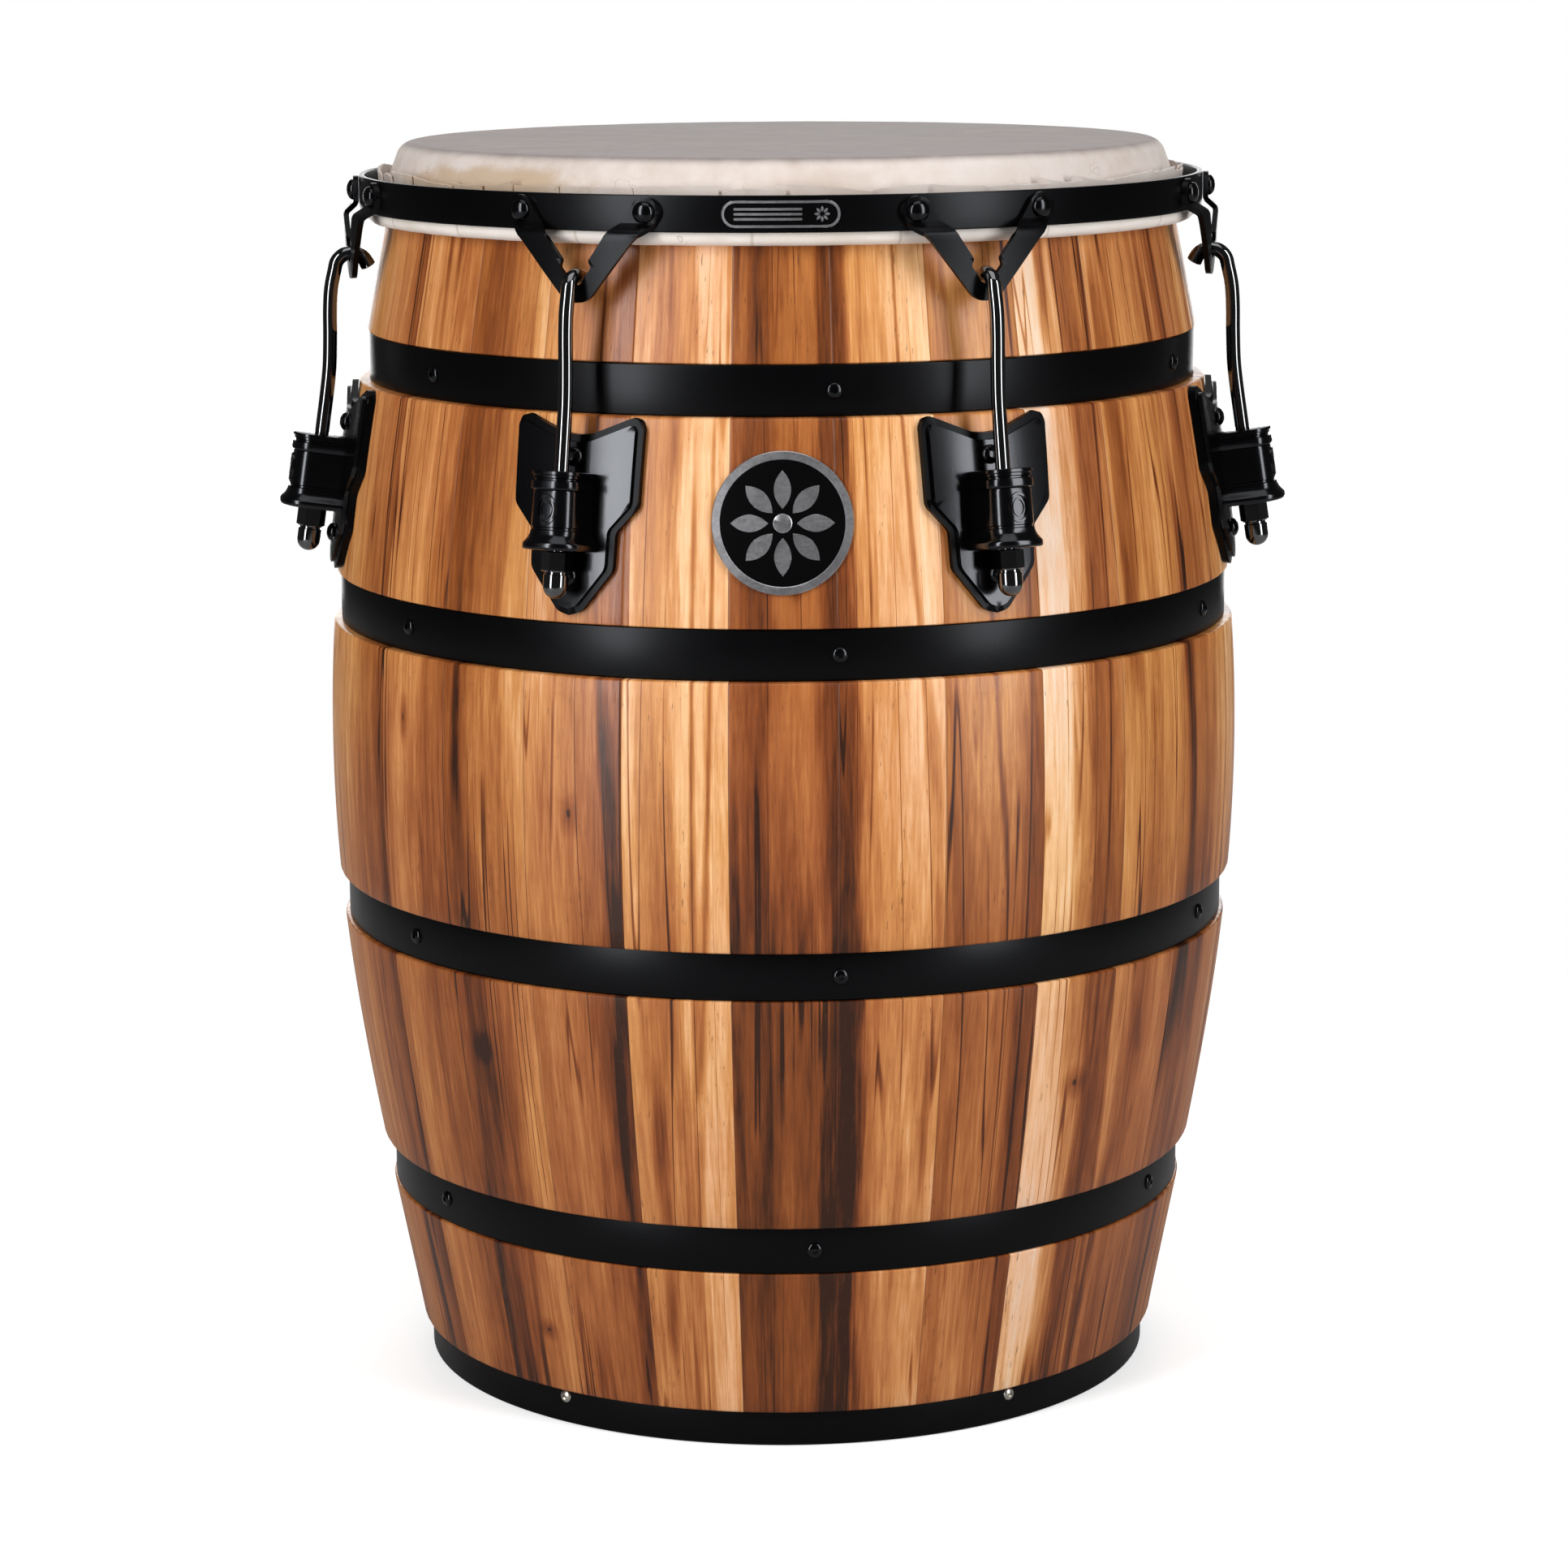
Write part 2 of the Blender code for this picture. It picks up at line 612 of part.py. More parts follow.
def casing_mesh(outline):
    """Side plate and half-round casing, cast as one, with a bore for the rod."""
    plate = finish(plate_solid(outline, PLATE_BACK, PLATE_THICKNESS), "plate")
    bm = bmesh.new()
    rings = []
    for down, stand_out in CASING_ROWS:
        # the wall reaches back into the plate, which follows the barrel
        radius, height = rod_line(down)
        plate_middle = barrel_radius(height) + PLATE_BACK + PLATE_THICKNESS / 2
        back = (plate_middle - radius) * COS_TILT
        section = casing_section(stand_out, back)
        rings.append([bm.verts.new((x, -out, -down)) for x, out in section])
    for upper, lower in zip(rings, rings[1:]):
        for i in range(len(upper)):
            j = (i + 1) % len(upper)
            bm.faces.new([upper[i], upper[j], lower[j], lower[i]])
    bm.faces.new(rings[0])
    bm.faces.new(reversed(rings[-1]))
    bmesh.ops.transform(bm, matrix=rod_frame(), verts=bm.verts)
    body = finish(bm, "casing")
    bore = (ROD_RADIUS + THREAD_PLAY) / math.cos(math.pi / ROD_SIDES)
    low, high = -(CASING_LENGTH + DRILL_OVERRUN), DRILL_OVERRUN
    profile = [(0, low), (bore, low), (bore, high), (0, high)]
    bm = revolve(profile, ROD_SIDES, closed=False)
    bmesh.ops.transform(bm, matrix=rod_frame(), verts=bm.verts)
    cuts = [finish(bm, "bore")] + [bolt_drill(height) for height in BOLT_HEIGHTS.values()]
    whole = combined(plate, [body], "UNION")
    whole = combined(whole, cuts, "DIFFERENCE")
    whole.name = "lug_casing"
    return whole


def rod_path():
    """Middle of the hook rod, (radius, height), from the hook's end to the end in the nut."""
    radius, height = HOOK_CENTRE
    steps = 5
    path = []
    for step in range(steps + 1):
        angle = HOOK_SWEEP * (1 - step / steps)
        path.append((radius + HOOK_RADIUS * math.cos(angle), height + HOOK_RADIUS * math.sin(angle)))
    path += [(radius + HOOK_RADIUS + out, height - down) for out, down in SHOULDER]
    shank = (ROD_LINE_HEIGHT - SHANK_TOP) / COS_TILT
    end = CASING_LENGTH + GAP + NUT_LENGTH - ROD_END_CLEARANCE
    return path + [rod_line(shank), rod_line(end)]


def rod_mesh():
    """A round bar swept along its path, in the rod line's frame."""
    path = [Vector((0, -radius, height)) for radius, height in rod_path()]
    bm = bmesh.new()
    rings = []
    for i, point in enumerate(path):
        before = (point - path[i - 1]).normalized() if i else (path[1] - point).normalized()
        after = (path[i + 1] - point).normalized() if i + 1 < len(path) else before
        along = (before + after).normalized()
        across = Vector((1, 0, 0))
        square = along.cross(across)
        reach = ROD_RADIUS / along.dot(after)
        ring = []
        for side in range(ROD_SIDES):
            angle = math.tau * side / ROD_SIDES
            offset = across * ROD_RADIUS * math.cos(angle) + square * reach * math.sin(angle)
            ring.append(bm.verts.new(point + offset))
        rings.append(ring)
    for upper, lower in zip(rings, rings[1:]):
        for side in range(ROD_SIDES):
            after_side = (side + 1) % ROD_SIDES
            bm.faces.new([upper[side], upper[after_side], lower[after_side], lower[side]])
    bm.faces.new(rings[0])
    bm.faces.new(reversed(rings[-1]))
    bmesh.ops.transform(bm, matrix=rod_frame().inverted(), verts=bm.verts)
    return finish(bm, "hook_rod")


def nut_mesh():
    """Hexagon, neck and closed dome, bored from above for the rod's thread, in the rod line's frame."""
    top = -(CASING_LENGTH + GAP)
    bore = (ROD_RADIUS + THREAD_PLAY) / math.cos(math.pi / 12)
    hex_end = top - NUT_HEX_LENGTH
    neck_end = hex_end - NUT_NECK_LENGTH
    end = top - NUT_LENGTH
    dome = []
    dome_centre = end + NUT_DOME_RADIUS
    for step in range(3):
        angle = math.radians(45 * step)
        radius = NUT_DOME_RADIUS * math.cos(angle) if step < 2 else 0
        dome.append((radius, dome_centre - NUT_DOME_RADIUS * math.sin(angle)))
    hexagon = ROD_RADIUS + NUT_WALL
    bore_end = end + ROD_END_CLEARANCE - 2 * GAP
    profile = [
        (0, bore_end),
        (bore, bore_end),
        (bore, top),
        (hexagon, top),
        (hexagon, hex_end),
        (NUT_NECK_RADIUS, hex_end),
        (NUT_NECK_RADIUS, neck_end),
        (NUT_DOME_RADIUS, neck_end),
        *dome,
    ]
    return finish(revolve(profile, 12, closed=False, across={3, 4}), "tuning_nut")


def bracket_profile():
    """Middle of the bracket's sheet, rising: tip, foot of the jog, top of the jog, top of the tab."""
    tab = BRACKET_LEG - BRACKET_JOG
    return [
        (BRACKET_LEG - BRACKET_TIP_LEAN, BRACKET_TIP - BRACKET_OVERRUN),
        (BRACKET_LEG, JOG_BOTTOM),
        (tab, JOG_TOP),
        (tab, RIM_TOP + BRACKET_OVERRUN),
    ]


def bracket_outline():
    """Half of the V from the hook's seat round the tab to the tip."""
    seat = HOOK_CENTRE[1] + HOOK_RADIUS - ROD_RADIUS - SEAT_DROP
    tab = []
    for degrees in (150, 110, 70, 30, -10):
        angle = math.radians(degrees)
        tab.append(
            (TAB_CENTRE[0] + TAB_RADIUS * math.cos(angle), TAB_CENTRE[1] + TAB_RADIUS * math.sin(angle))
        )
    inner = [(0.0, seat), (SEAT_HALF_WIDTH, seat + SEAT_RISE)]
    inner += [(x, BRACKET_TIP + z) for x, z in BRACKET_INNER]
    outer = [(x, BRACKET_TIP + z) for x, z in BRACKET_OUTER]
    return inner + tab + outer + [(0.0, BRACKET_TIP)]


def bracket_mesh():
    profile = bracket_profile()
    bends = [((0, 0, height), (0, 0, 1)) for _, height in profile[1:-1]]
    creases = [((side * BRACKET_CREASE, 0, 0), (1, 0, 0)) for side in (-1, 1)]
    bm = sheet_from_outline(mirrored(bracket_outline()), bends + creases)

    def side_of_sheet(direction):
        def surface(x, z):
            step = 0.5 * MM
            slope = (interpolate(profile, z + step) - interpolate(profile, z - step)) / (2 * step)
            square = Vector((1, -slope)).normalized() * direction * BRACKET_THICKNESS / 2
            radius = interpolate(profile, z) + square.x
            return Vector((x, -math.sqrt(radius**2 - x**2), z + square.y))

        return surface

    return finish(thicken(bm, side_of_sheet(-1), side_of_sheet(1)), "rim_bracket")


# ---------------------------------------------------------------- badge and rim plate


def badge_mesh():
    """A thin round disc that follows the barrel."""
    steps = 24
    outline = [
        (
            BADGE_RADIUS * math.cos(math.tau * i / steps),
            BADGE_HEIGHT + BADGE_RADIUS * math.sin(math.tau * i / steps),
        )
        for i in range(steps)
    ]
    cuts = [((x, 0, 0), (1, 0, 0)) for x in (-20 * MM, 0, 20 * MM)] + [((0, 0, BADGE_HEIGHT), (0, 0, 1))]
    bm = sheet_from_outline(outline, cuts)

    def off_shell(off):
        return lambda x, z: on_shell(x, z, off)

    return finish(thicken(bm, off_shell(2 * GAP), off_shell(2 * GAP + BADGE_THICKNESS)), "shell_badge")


def rim_plate_mesh():
    """A thin plate with round ends that follows the rim."""
    radius = RIM_PLATE_WIDTH / 2
    straight = RIM_PLATE_LENGTH / 2 - radius
    right = []
    for step in range(7):
        angle = math.radians(-90 + 30 * step)
        right.append((straight + radius * math.cos(angle), RIM_PLATE_HEIGHT + radius * math.sin(angle)))
    outline = right + [(-x, z) for x, z in reversed(right)]
    bm = sheet_from_outline(outline, [((x, 0, 0), (1, 0, 0)) for x in (-12 * MM, 12 * MM)])

    def at_radius(off):
        def surface(x, z):
            return Vector((x, -math.sqrt((RIM_RADIUS + off) ** 2 - x**2), z))

        return surface

    return finish(thicken(bm, at_radius(2 * GAP), at_radius(2 * GAP + RIM_PLATE_THICKNESS)), "rim_plate")


def main():
    for old in list(bpy.data.objects):
        bpy.data.objects.remove(old)
    for name, values in FINISHES.items():
        make_material(name, *values)

    axis = empty("drum_axis", None, location=(0, AXIS_Y, 0))
    place("stave_shell", shell_mesh(), "stave_wood", axis)
    for name, radius, bottom, top in hoops():
        place(name, hoop_mesh(name, radius, bottom, top), "satin_black_steel", axis)
    place("drum_skin", skin_mesh(), "natural_skin", axis)
    place("flesh_hoop", flesh_hoop_mesh(), "zinc_steel", axis)
    place("tuning_rim", rim_mesh(), "satin_black_steel", axis)
    place("rim_plate", rim_plate_mesh(), "badge_metal", axis)
    place("shell_badge", badge_mesh(), "badge_metal", axis)

    outline = mirrored([(x, ROD_LINE_HEIGHT + z) for x, z in PLATE_OUTLINE])
    fixed = {
        "rim_bracket": (bracket_mesh(), "satin_black_steel"),
        "lug_casing": (casing_mesh(inset_outline(outline, PLATE_MARGIN)), "black_casting"),
        "lug_gasket": (gasket_mesh(outline), "black_rubber"),
        "lug_bolt_upper": (bolt_mesh(BOLT_HEIGHTS["lug_bolt_upper"]), "gloss_black_steel"),
        "lug_bolt_lower": (bolt_mesh(BOLT_HEIGHTS["lug_bolt_lower"]), "gloss_black_steel"),
    }
    turning = {
        "hook_rod": (rod_mesh(), "gloss_black_steel"),
        "tuning_nut": (nut_mesh(), "gloss_black_steel"),
    }
    for number, turn in enumerate(station_turns(), start=1):
        station = empty(f"station_{number}", axis, rotation=(0, 0, turn))
        line = empty(
            f"rod_line_{number}",
            station,
            location=(0, -ROD_LINE_RADIUS, ROD_LINE_HEIGHT),
            rotation=(-ROD_TILT, 0, 0),
        )
        for kind, (mesh, finish_name) in fixed.items():
            place(f"{kind}_{number}", mesh, finish_name, station)
        for kind, (mesh, finish_name) in turning.items():
            place(f"{kind}_{number}", mesh, finish_name, line)


main()
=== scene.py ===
# %% [markdown]
# # A barrel conga with steel hoops and seven tuning stations
#
# The drum is a cask of glued staves held by five steel hoops. A natural skin is wrapped round a flesh hoop, a
# rim presses it down, and seven hook rods pull the rim. The frame gives the place and size of every part; this
# file gives each one its finished shape and its surface. Everything is in metres, with Z up and the player at -Y.

import json
import math
import random

import bmesh
import bpy
from mathutils import Matrix, Vector, noise


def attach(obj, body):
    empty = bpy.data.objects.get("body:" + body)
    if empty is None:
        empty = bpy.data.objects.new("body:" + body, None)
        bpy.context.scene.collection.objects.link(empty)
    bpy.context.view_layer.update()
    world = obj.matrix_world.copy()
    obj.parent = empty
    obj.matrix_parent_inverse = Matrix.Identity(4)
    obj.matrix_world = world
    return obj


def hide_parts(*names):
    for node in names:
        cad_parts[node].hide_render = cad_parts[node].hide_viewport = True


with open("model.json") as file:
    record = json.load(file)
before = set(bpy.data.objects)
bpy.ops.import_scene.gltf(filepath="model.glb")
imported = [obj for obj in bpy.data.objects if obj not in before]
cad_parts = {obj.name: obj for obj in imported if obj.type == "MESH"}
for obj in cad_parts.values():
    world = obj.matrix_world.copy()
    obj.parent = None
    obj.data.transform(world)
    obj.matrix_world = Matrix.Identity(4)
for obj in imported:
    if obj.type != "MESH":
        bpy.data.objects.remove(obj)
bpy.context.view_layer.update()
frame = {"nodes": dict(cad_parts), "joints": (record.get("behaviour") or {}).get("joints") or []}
MM = 0.001

# %% [markdown]
# ## Where the drum stands
#
# The box of the drum is centred on the origin, but its axis isn't: one station is at the back and two share the
# front. Each tuning nut turns about a point on its rod line, and the seven points lie evenly round the axis, so
# their middle is the axis. Measuring it from the joints keeps this file right if the frame changes.

# %% Find the axis, the stations and the rod lines
nut_points = [Vector(joint["pos_m"]) for joint in frame["joints"] if joint["name"].startswith("nut_")]
STATIONS = len(nut_points)
AXIS = sum(nut_points, Vector()) / STATIONS
AXIS.z = 0
ROD_LINE_RADIUS = (nut_points[0] - AXIS).xy.length
ROD_LINE_HEIGHT = nut_points[0].z
STATION_TURNS = [math.atan2(p.x - AXIS.x, AXIS.y - p.y) for p in nut_points]
STATION_NUMBERS = range(1, STATIONS + 1)
down_rod = Vector(next(j["axis"] for j in frame["joints"] if j["name"] == "nut_1_turn"))
ROD_TILT = math.asin(down_rod.xy.length)
print("axis at", tuple(round(c, 4) for c in AXIS), "rods lean", round(math.degrees(ROD_TILT), 2), "degrees")


# %% Measure a ring of the frame
def ring_size(node):
    """(inner radius, outer radius, bottom, top) of a ring about the drum's axis."""
    points = [v.co - AXIS for v in frame["nodes"][node].data.vertices]
    radii = [p.xy.length for p in points]
    heights = [p.z for p in points]
    return min(radii), max(radii), min(heights), max(heights)


RIM_INNER, RIM_OUTER, RIM_BOTTOM, RIM_TOP = ring_size("tuning_rim")
RIM_BAND_INNER = RIM_OUTER - 3.0 * MM
LIP_THICKNESS = 3.5 * MM
HOOP_NODES = ["base_hoop", "shell_hoop_4", "shell_hoop_3", "shell_hoop_2", "shell_hoop_1"]
HOOPS = {node: ring_size(node) for node in HOOP_NODES}
HEAD_TOP = ring_size("drum_skin")[3]
for node, size in HOOPS.items():
    print(node, [round(s / MM, 1) for s in size])

# %% [markdown]
# ## Camera, floor and light
#
# A product picture of a tall shiny thing needs a long lens, which keeps its sides upright, and large soft
# lamps, which make long clean highlights on round bars. Two tall softboxes stand left and right of the camera,
# one hangs above the skin and two light the back. The floor is pale and fades into the pale surroundings, so
# that no horizon shows. The surroundings look white but light the drum very little, or the black steel would
# turn grey.

# %% Camera
LENS = 101.0
CAMERA_DISTANCE = 2.5438
CAMERA_HEIGHT = 0.8346
CAMERA_PITCH = math.radians(11.136)
CAMERA_ROLL = math.radians(-0.311)

camera_data = bpy.data.cameras.new("camera")
camera_data.lens = LENS
camera_data.sensor_width = 36.0
camera_data.clip_end = 100.0
camera = bpy.data.objects.new("camera", camera_data)
bpy.context.scene.collection.objects.link(camera)
camera.matrix_world = (
    Matrix.Translation((0, AXIS.y - CAMERA_DISTANCE, CAMERA_HEIGHT))
    @ Matrix.Rotation(math.pi / 2 - CAMERA_PITCH, 4, "X")
    @ Matrix.Rotation(CAMERA_ROLL, 4, "Z")
)
bpy.context.scene.camera = camera
bpy.context.scene.view_settings.view_transform = "Standard"
print("camera at", [round(c, 3) for c in camera.matrix_world.translation], "with a", LENS, "mm lens")


# %% Lamps
def softbox(name, turn, distance, height, size, power, aim):
    """A rectangular lamp that faces the drum. The turn is in degrees from the front, to the viewer's right."""
    lamp = bpy.data.lights.new(name, "AREA")
    lamp.shape = "RECTANGLE"
    lamp.size, lamp.size_y = size
    lamp.energy = power
    holder = bpy.data.objects.new(name, lamp)
    holder.visible_camera = False
    bpy.context.scene.collection.objects.link(holder)
    turn = math.radians(turn)
    holder.location = (distance * math.sin(turn), AXIS.y - distance * math.cos(turn), height)
    to_drum = Vector((0, AXIS.y, aim)) - holder.location
    holder.rotation_euler = to_drum.to_track_quat("-Z", "Y").to_euler()
    print(name, "has", power, "watts")


softbox("softbox_left", -40, 2.3, 1.20, (0.50, 2.4), 49, aim=0.4)
softbox("softbox_right", 50, 2.3, 1.20, (0.62, 2.4), 43, aim=0.4)
softbox("softbox_above", 8, 0.6, 2.6, (1.8, 1.6), 14, aim=0.7)
softbox("softbox_behind", 180, 2.0, 1.7, (1.6, 1.4), 12, aim=0.5)
softbox("softbox_low_behind", 180, 2.2, 0.50, (1.8, 0.8), 24, aim=0.35)

world = bpy.data.worlds.new("studio")
world.use_nodes = True
bpy.context.scene.world = world


# %% [markdown]
# ## Wiring node trees
#
# Every surface below is a small tree of nodes. Blender's calls for them are long, so a few helpers keep the trees
# readable. The first adds a node and joins its inputs, and the others are sums, mixes and ramps made with it.

# %% Node helpers
def put(tree, kind, inputs=None, **settings):
    """Add a node. Each input is a value, or an output socket of another node to join."""
    node = tree.nodes.new(kind)
    node.location = (170 * (len(tree.nodes) % 12), -260 * (len(tree.nodes) // 12))
    for name, value in settings.items():
        setattr(node, name, value)
    for key, value in (inputs or {}).items():
        if isinstance(value, bpy.types.NodeSocket):
            tree.links.new(value, node.inputs[key])
        else:
            node.inputs[key].default_value = value
    return node


def calc(tree, operation, *values, clamp=False):
    inputs = dict(enumerate(values))
    return put(tree, "ShaderNodeMath", inputs, operation=operation, use_clamp=clamp).outputs[0]


def plus(tree, first, second, **more):
    return calc(tree, "ADD", first, second, **more)


def minus(tree, first, second):
    return calc(tree, "SUBTRACT", first, second)


def times(tree, first, second, **more):
    return calc(tree, "MULTIPLY", first, second, **more)


def swung(tree, value, amount):
    """A value that lies about 0.5, turned into a swing about 0."""
    return times(tree, minus(tree, value, 0.5), amount)


def blend(tree, factor, first, second, how="MIX"):
    inputs = {0: factor, 6: first, 7: second}
    return put(tree, "ShaderNodeMix", inputs, data_type="RGBA", blend_type=how).outputs[2]


def marked(tree, colour, mask, strength, mark):
    """The colour, with marks of another colour where the mask is."""
    return blend(tree, times(tree, mask, strength), colour, (*mark, 1))


def remap(tree, value, low, high, to_low=0.0, to_high=1.0, smooth=True):
    inputs = {"Value": value, "From Min": low, "From Max": high, "To Min": to_low, "To Max": to_high}
    kind = "SMOOTHSTEP" if smooth else "LINEAR"
    return put(tree, "ShaderNodeMapRange", inputs, interpolation_type=kind).outputs[0]


def ramp(tree, factor, stops):
    """Read colours from (position, (red, green, blue)) stops."""
    node = put(tree, "ShaderNodeValToRGB", {0: factor})
    elements = node.color_ramp.elements
    while len(elements) < len(stops):
        elements.new(0.5)
    for element, (position, colour) in zip(elements, stops):
        element.position = position
        element.color = (*colour, 1)
    return node.outputs["Color"]


def scaled(tree, vector, scale):
    return put(tree, "ShaderNodeVectorMath", {0: vector, 1: scale}, operation="MULTIPLY").outputs[0]


def noise_value(tree, vector, scale, detail=3.0, roughness=0.55, distortion=0.0):
    inputs = {"Vector": vector, "Scale": scale, "Detail": detail}
    inputs |= {"Roughness": roughness, "Distortion": distortion}
    return put(tree, "ShaderNodeTexNoise", inputs).outputs[0]


def object_place(tree):
    return put(tree, "ShaderNodeTexCoord").outputs["Object"]


def length_of(tree, vector):
    return put(tree, "ShaderNodeVectorMath", {0: vector}, operation="LENGTH").outputs["Value"]


# %% Make the studio's surroundings and floor
sky = world.node_tree
sky.nodes.clear()
rays = put(sky, "ShaderNodeLightPath")
dim = put(sky, "ShaderNodeBackground", {"Color": (1, 1, 1, 1), "Strength": 0.05})
white = put(sky, "ShaderNodeBackground", {"Color": (1, 1, 1, 1), "Strength": 1.0})
seen_or_not = {0: rays.outputs["Is Camera Ray"], 1: dim.outputs[0], 2: white.outputs[0]}
either = put(sky, "ShaderNodeMixShader", seen_or_not)
put(sky, "ShaderNodeOutputWorld", {"Surface": either.outputs[0]})

FLOOR_RADIUS = 6.0
floor_mesh = bpy.data.meshes.new("floor")
bm = bmesh.new()
bmesh.ops.create_circle(bm, cap_ends=True, segments=96, radius=FLOOR_RADIUS)
bm.to_mesh(floor_mesh)
bm.free()
floor = bpy.data.objects.new("floor", floor_mesh)
bpy.context.scene.collection.objects.link(floor)

floor_paint = bpy.data.materials.new("floor_paint")
floor_paint.use_nodes = True
tree = floor_paint.node_tree
tree.nodes.clear()
FADE_START, FADE_END = 0.45, 1.1
fade = remap(tree, length_of(tree, object_place(tree)), FADE_START, FADE_END)
pale = {"Base Color": (0.8, 0.8, 0.8, 1), "Roughness": 0.9, "Emission Color": (1, 1, 1, 1)}
pale["Emission Strength"] = 0.5
near_floor = put(tree, "ShaderNodeBsdfPrincipled", pale)
far_floor = put(tree, "ShaderNodeEmission", {"Color": (1, 1, 1, 1), "Strength": 1.0})
seen = put(tree, "ShaderNodeMixShader", {0: fade, 1: near_floor.outputs[0], 2: far_floor.outputs[0]})
matt = put(tree, "ShaderNodeBsdfDiffuse", {"Color": (0.45, 0.45, 0.45, 1)})
camera_ray = put(tree, "ShaderNodeLightPath").outputs["Is Camera Ray"]
either = put(tree, "ShaderNodeMixShader", {0: camera_ray, 1: matt.outputs[0], 2: seen.outputs[0]})
put(tree, "ShaderNodeOutputMaterial", {"Surface": either.outputs[0]})
floor_mesh.materials.append(floor_paint)
print("floor is", 2 * FLOOR_RADIUS, "m across and fades out from", FADE_START, "m")


# %% [markdown]
# ## Effects that several finishes share
#
# Paint on steel is never quite flat: it has a fine orange-peel skin and holds a little dust. Skin and wood are
# mottled, and have small dark flecks. Each of these is one node group with named inputs, so that every material
# can use it at its own scale and strength.

# %% Make a node group
def new_group(name, inputs, outputs):
    """An empty shader group. Inputs are (name, kind, value); outputs are (name, kind)."""
    group = bpy.data.node_groups.new(name, "ShaderNodeTree")
    for label, kind, value in inputs:
        socket = group.interface.new_socket(label, in_out="INPUT", socket_type=f"NodeSocket{kind}")
        if value is not None:
            socket.default_value = value
    for label, kind in outputs:
        group.interface.new_socket(label, in_out="OUTPUT", socket_type=f"NodeSocket{kind}")
    start = put(group, "NodeGroupInput")
    end = put(group, "NodeGroupOutput")
    return group, start.outputs, end.inputs


def place_group(tree, group, **inputs):
    node = put(tree, "ShaderNodeGroup", node_tree=group)
    for name, value in inputs.items():
        socket = node.inputs[name.replace("_", " ")]
        if isinstance(value, bpy.types.NodeSocket):
            tree.links.new(value, socket)
        else:
            socket.default_value = value
    return node.outputs


# %% Flecks: small sparse marks
FLECKS, given, result = new_group(
    "flecks",
    [("Vector", "Vector", None), ("Scale", "Float", 200.0), ("Amount", "Float", 0.3),
     ("Patches", "Float", 20.0)],
    [("Mask", "Float")],
)
small = noise_value(FLECKS, given["Vector"], given["Scale"], detail=2.0)
patch = noise_value(FLECKS, given["Vector"], given["Patches"], detail=2.0)
BARE_EDGE, PATCH_CUT = 0.80, 0.25
wanted = times(FLECKS, given["Amount"], plus(FLECKS, patch, -PATCH_CUT))
edge = minus(FLECKS, BARE_EDGE, wanted)
over = minus(FLECKS, small, edge)
FLECKS.links.new(times(FLECKS, over, 14.0, clamp=True), result["Mask"])

# %% Mottle: soft clouds at two sizes
MOTTLE, given, result = new_group(
    "mottle",
    [("Vector", "Vector", None), ("Scale", "Float", 12.0), ("Fine Scale", "Float", 90.0),
     ("Fine Share", "Float", 0.3)],
    [("Value", "Float")],
)
broad = noise_value(MOTTLE, given["Vector"], given["Scale"], detail=4.0, distortion=0.4)
fine = noise_value(MOTTLE, given["Vector"], given["Fine Scale"], detail=3.0)
both = put(MOTTLE, "ShaderNodeMix", {0: given["Fine Share"], 2: broad, 3: fine}, data_type="FLOAT").outputs[0]
MOTTLE.links.new(both, result["Value"])

# %% Painted skin: orange peel, dust and a change of gloss
PAINT, given, result = new_group(
    "painted_surface",
    [("Vector", "Vector", None), ("Peel Scale", "Float", 900.0), ("Gloss Change", "Float", 0.08),
     ("Dust", "Float", 0.2)],
    [("Height", "Float"), ("Roughness Change", "Float"), ("Dust", "Float")],
)
peel = noise_value(PAINT, given["Vector"], given["Peel Scale"], detail=1.0)
cloud = noise_value(PAINT, given["Vector"], 24.0, detail=4.0)
swing = swung(PAINT, cloud, given["Gloss Change"])
specks = place_group(PAINT, FLECKS, Vector=given["Vector"], Scale=1400.0, Amount=given["Dust"], Patches=35.0)
PAINT.links.new(peel, result["Height"])
PAINT.links.new(swing, result["Roughness Change"])
PAINT.links.new(specks["Mask"], result["Dust"])
print("node groups:", [g.name for g in bpy.data.node_groups])


# %% [markdown]
# ## Black finishes
#
# The rim, brackets and hoops are satin powder-coated steel, the rods and tuning nuts are gloss black under a
# clear coat, the bolts and screws are a duller black, and the casings are cast zinc under a lacquer. The same
# recipe serves all of them with other numbers. The gasket is moulded rubber, which is rough and hardly shines.

# %% Recipe for a painted metal
def principled(name, **values):
    """A material whose shader has these plain values. Returns the material, its tree and the shader."""
    material = bpy.data.materials.new(name)
    material.use_nodes = True
    tree = material.node_tree
    shader = tree.nodes["Principled BSDF"]
    for label, value in values.items():
        shader.inputs[label.replace("_", " ")].default_value = value
    return material, tree, shader


def add_bump(tree, shader, height, strength, distance):
    bump = put(tree, "ShaderNodeBump", {"Height": height, "Strength": strength, "Distance": distance})
    tree.links.new(bump.outputs["Normal"], shader.inputs["Normal"])


COOL_GLEAM = (0.90, 0.93, 1.0, 1)


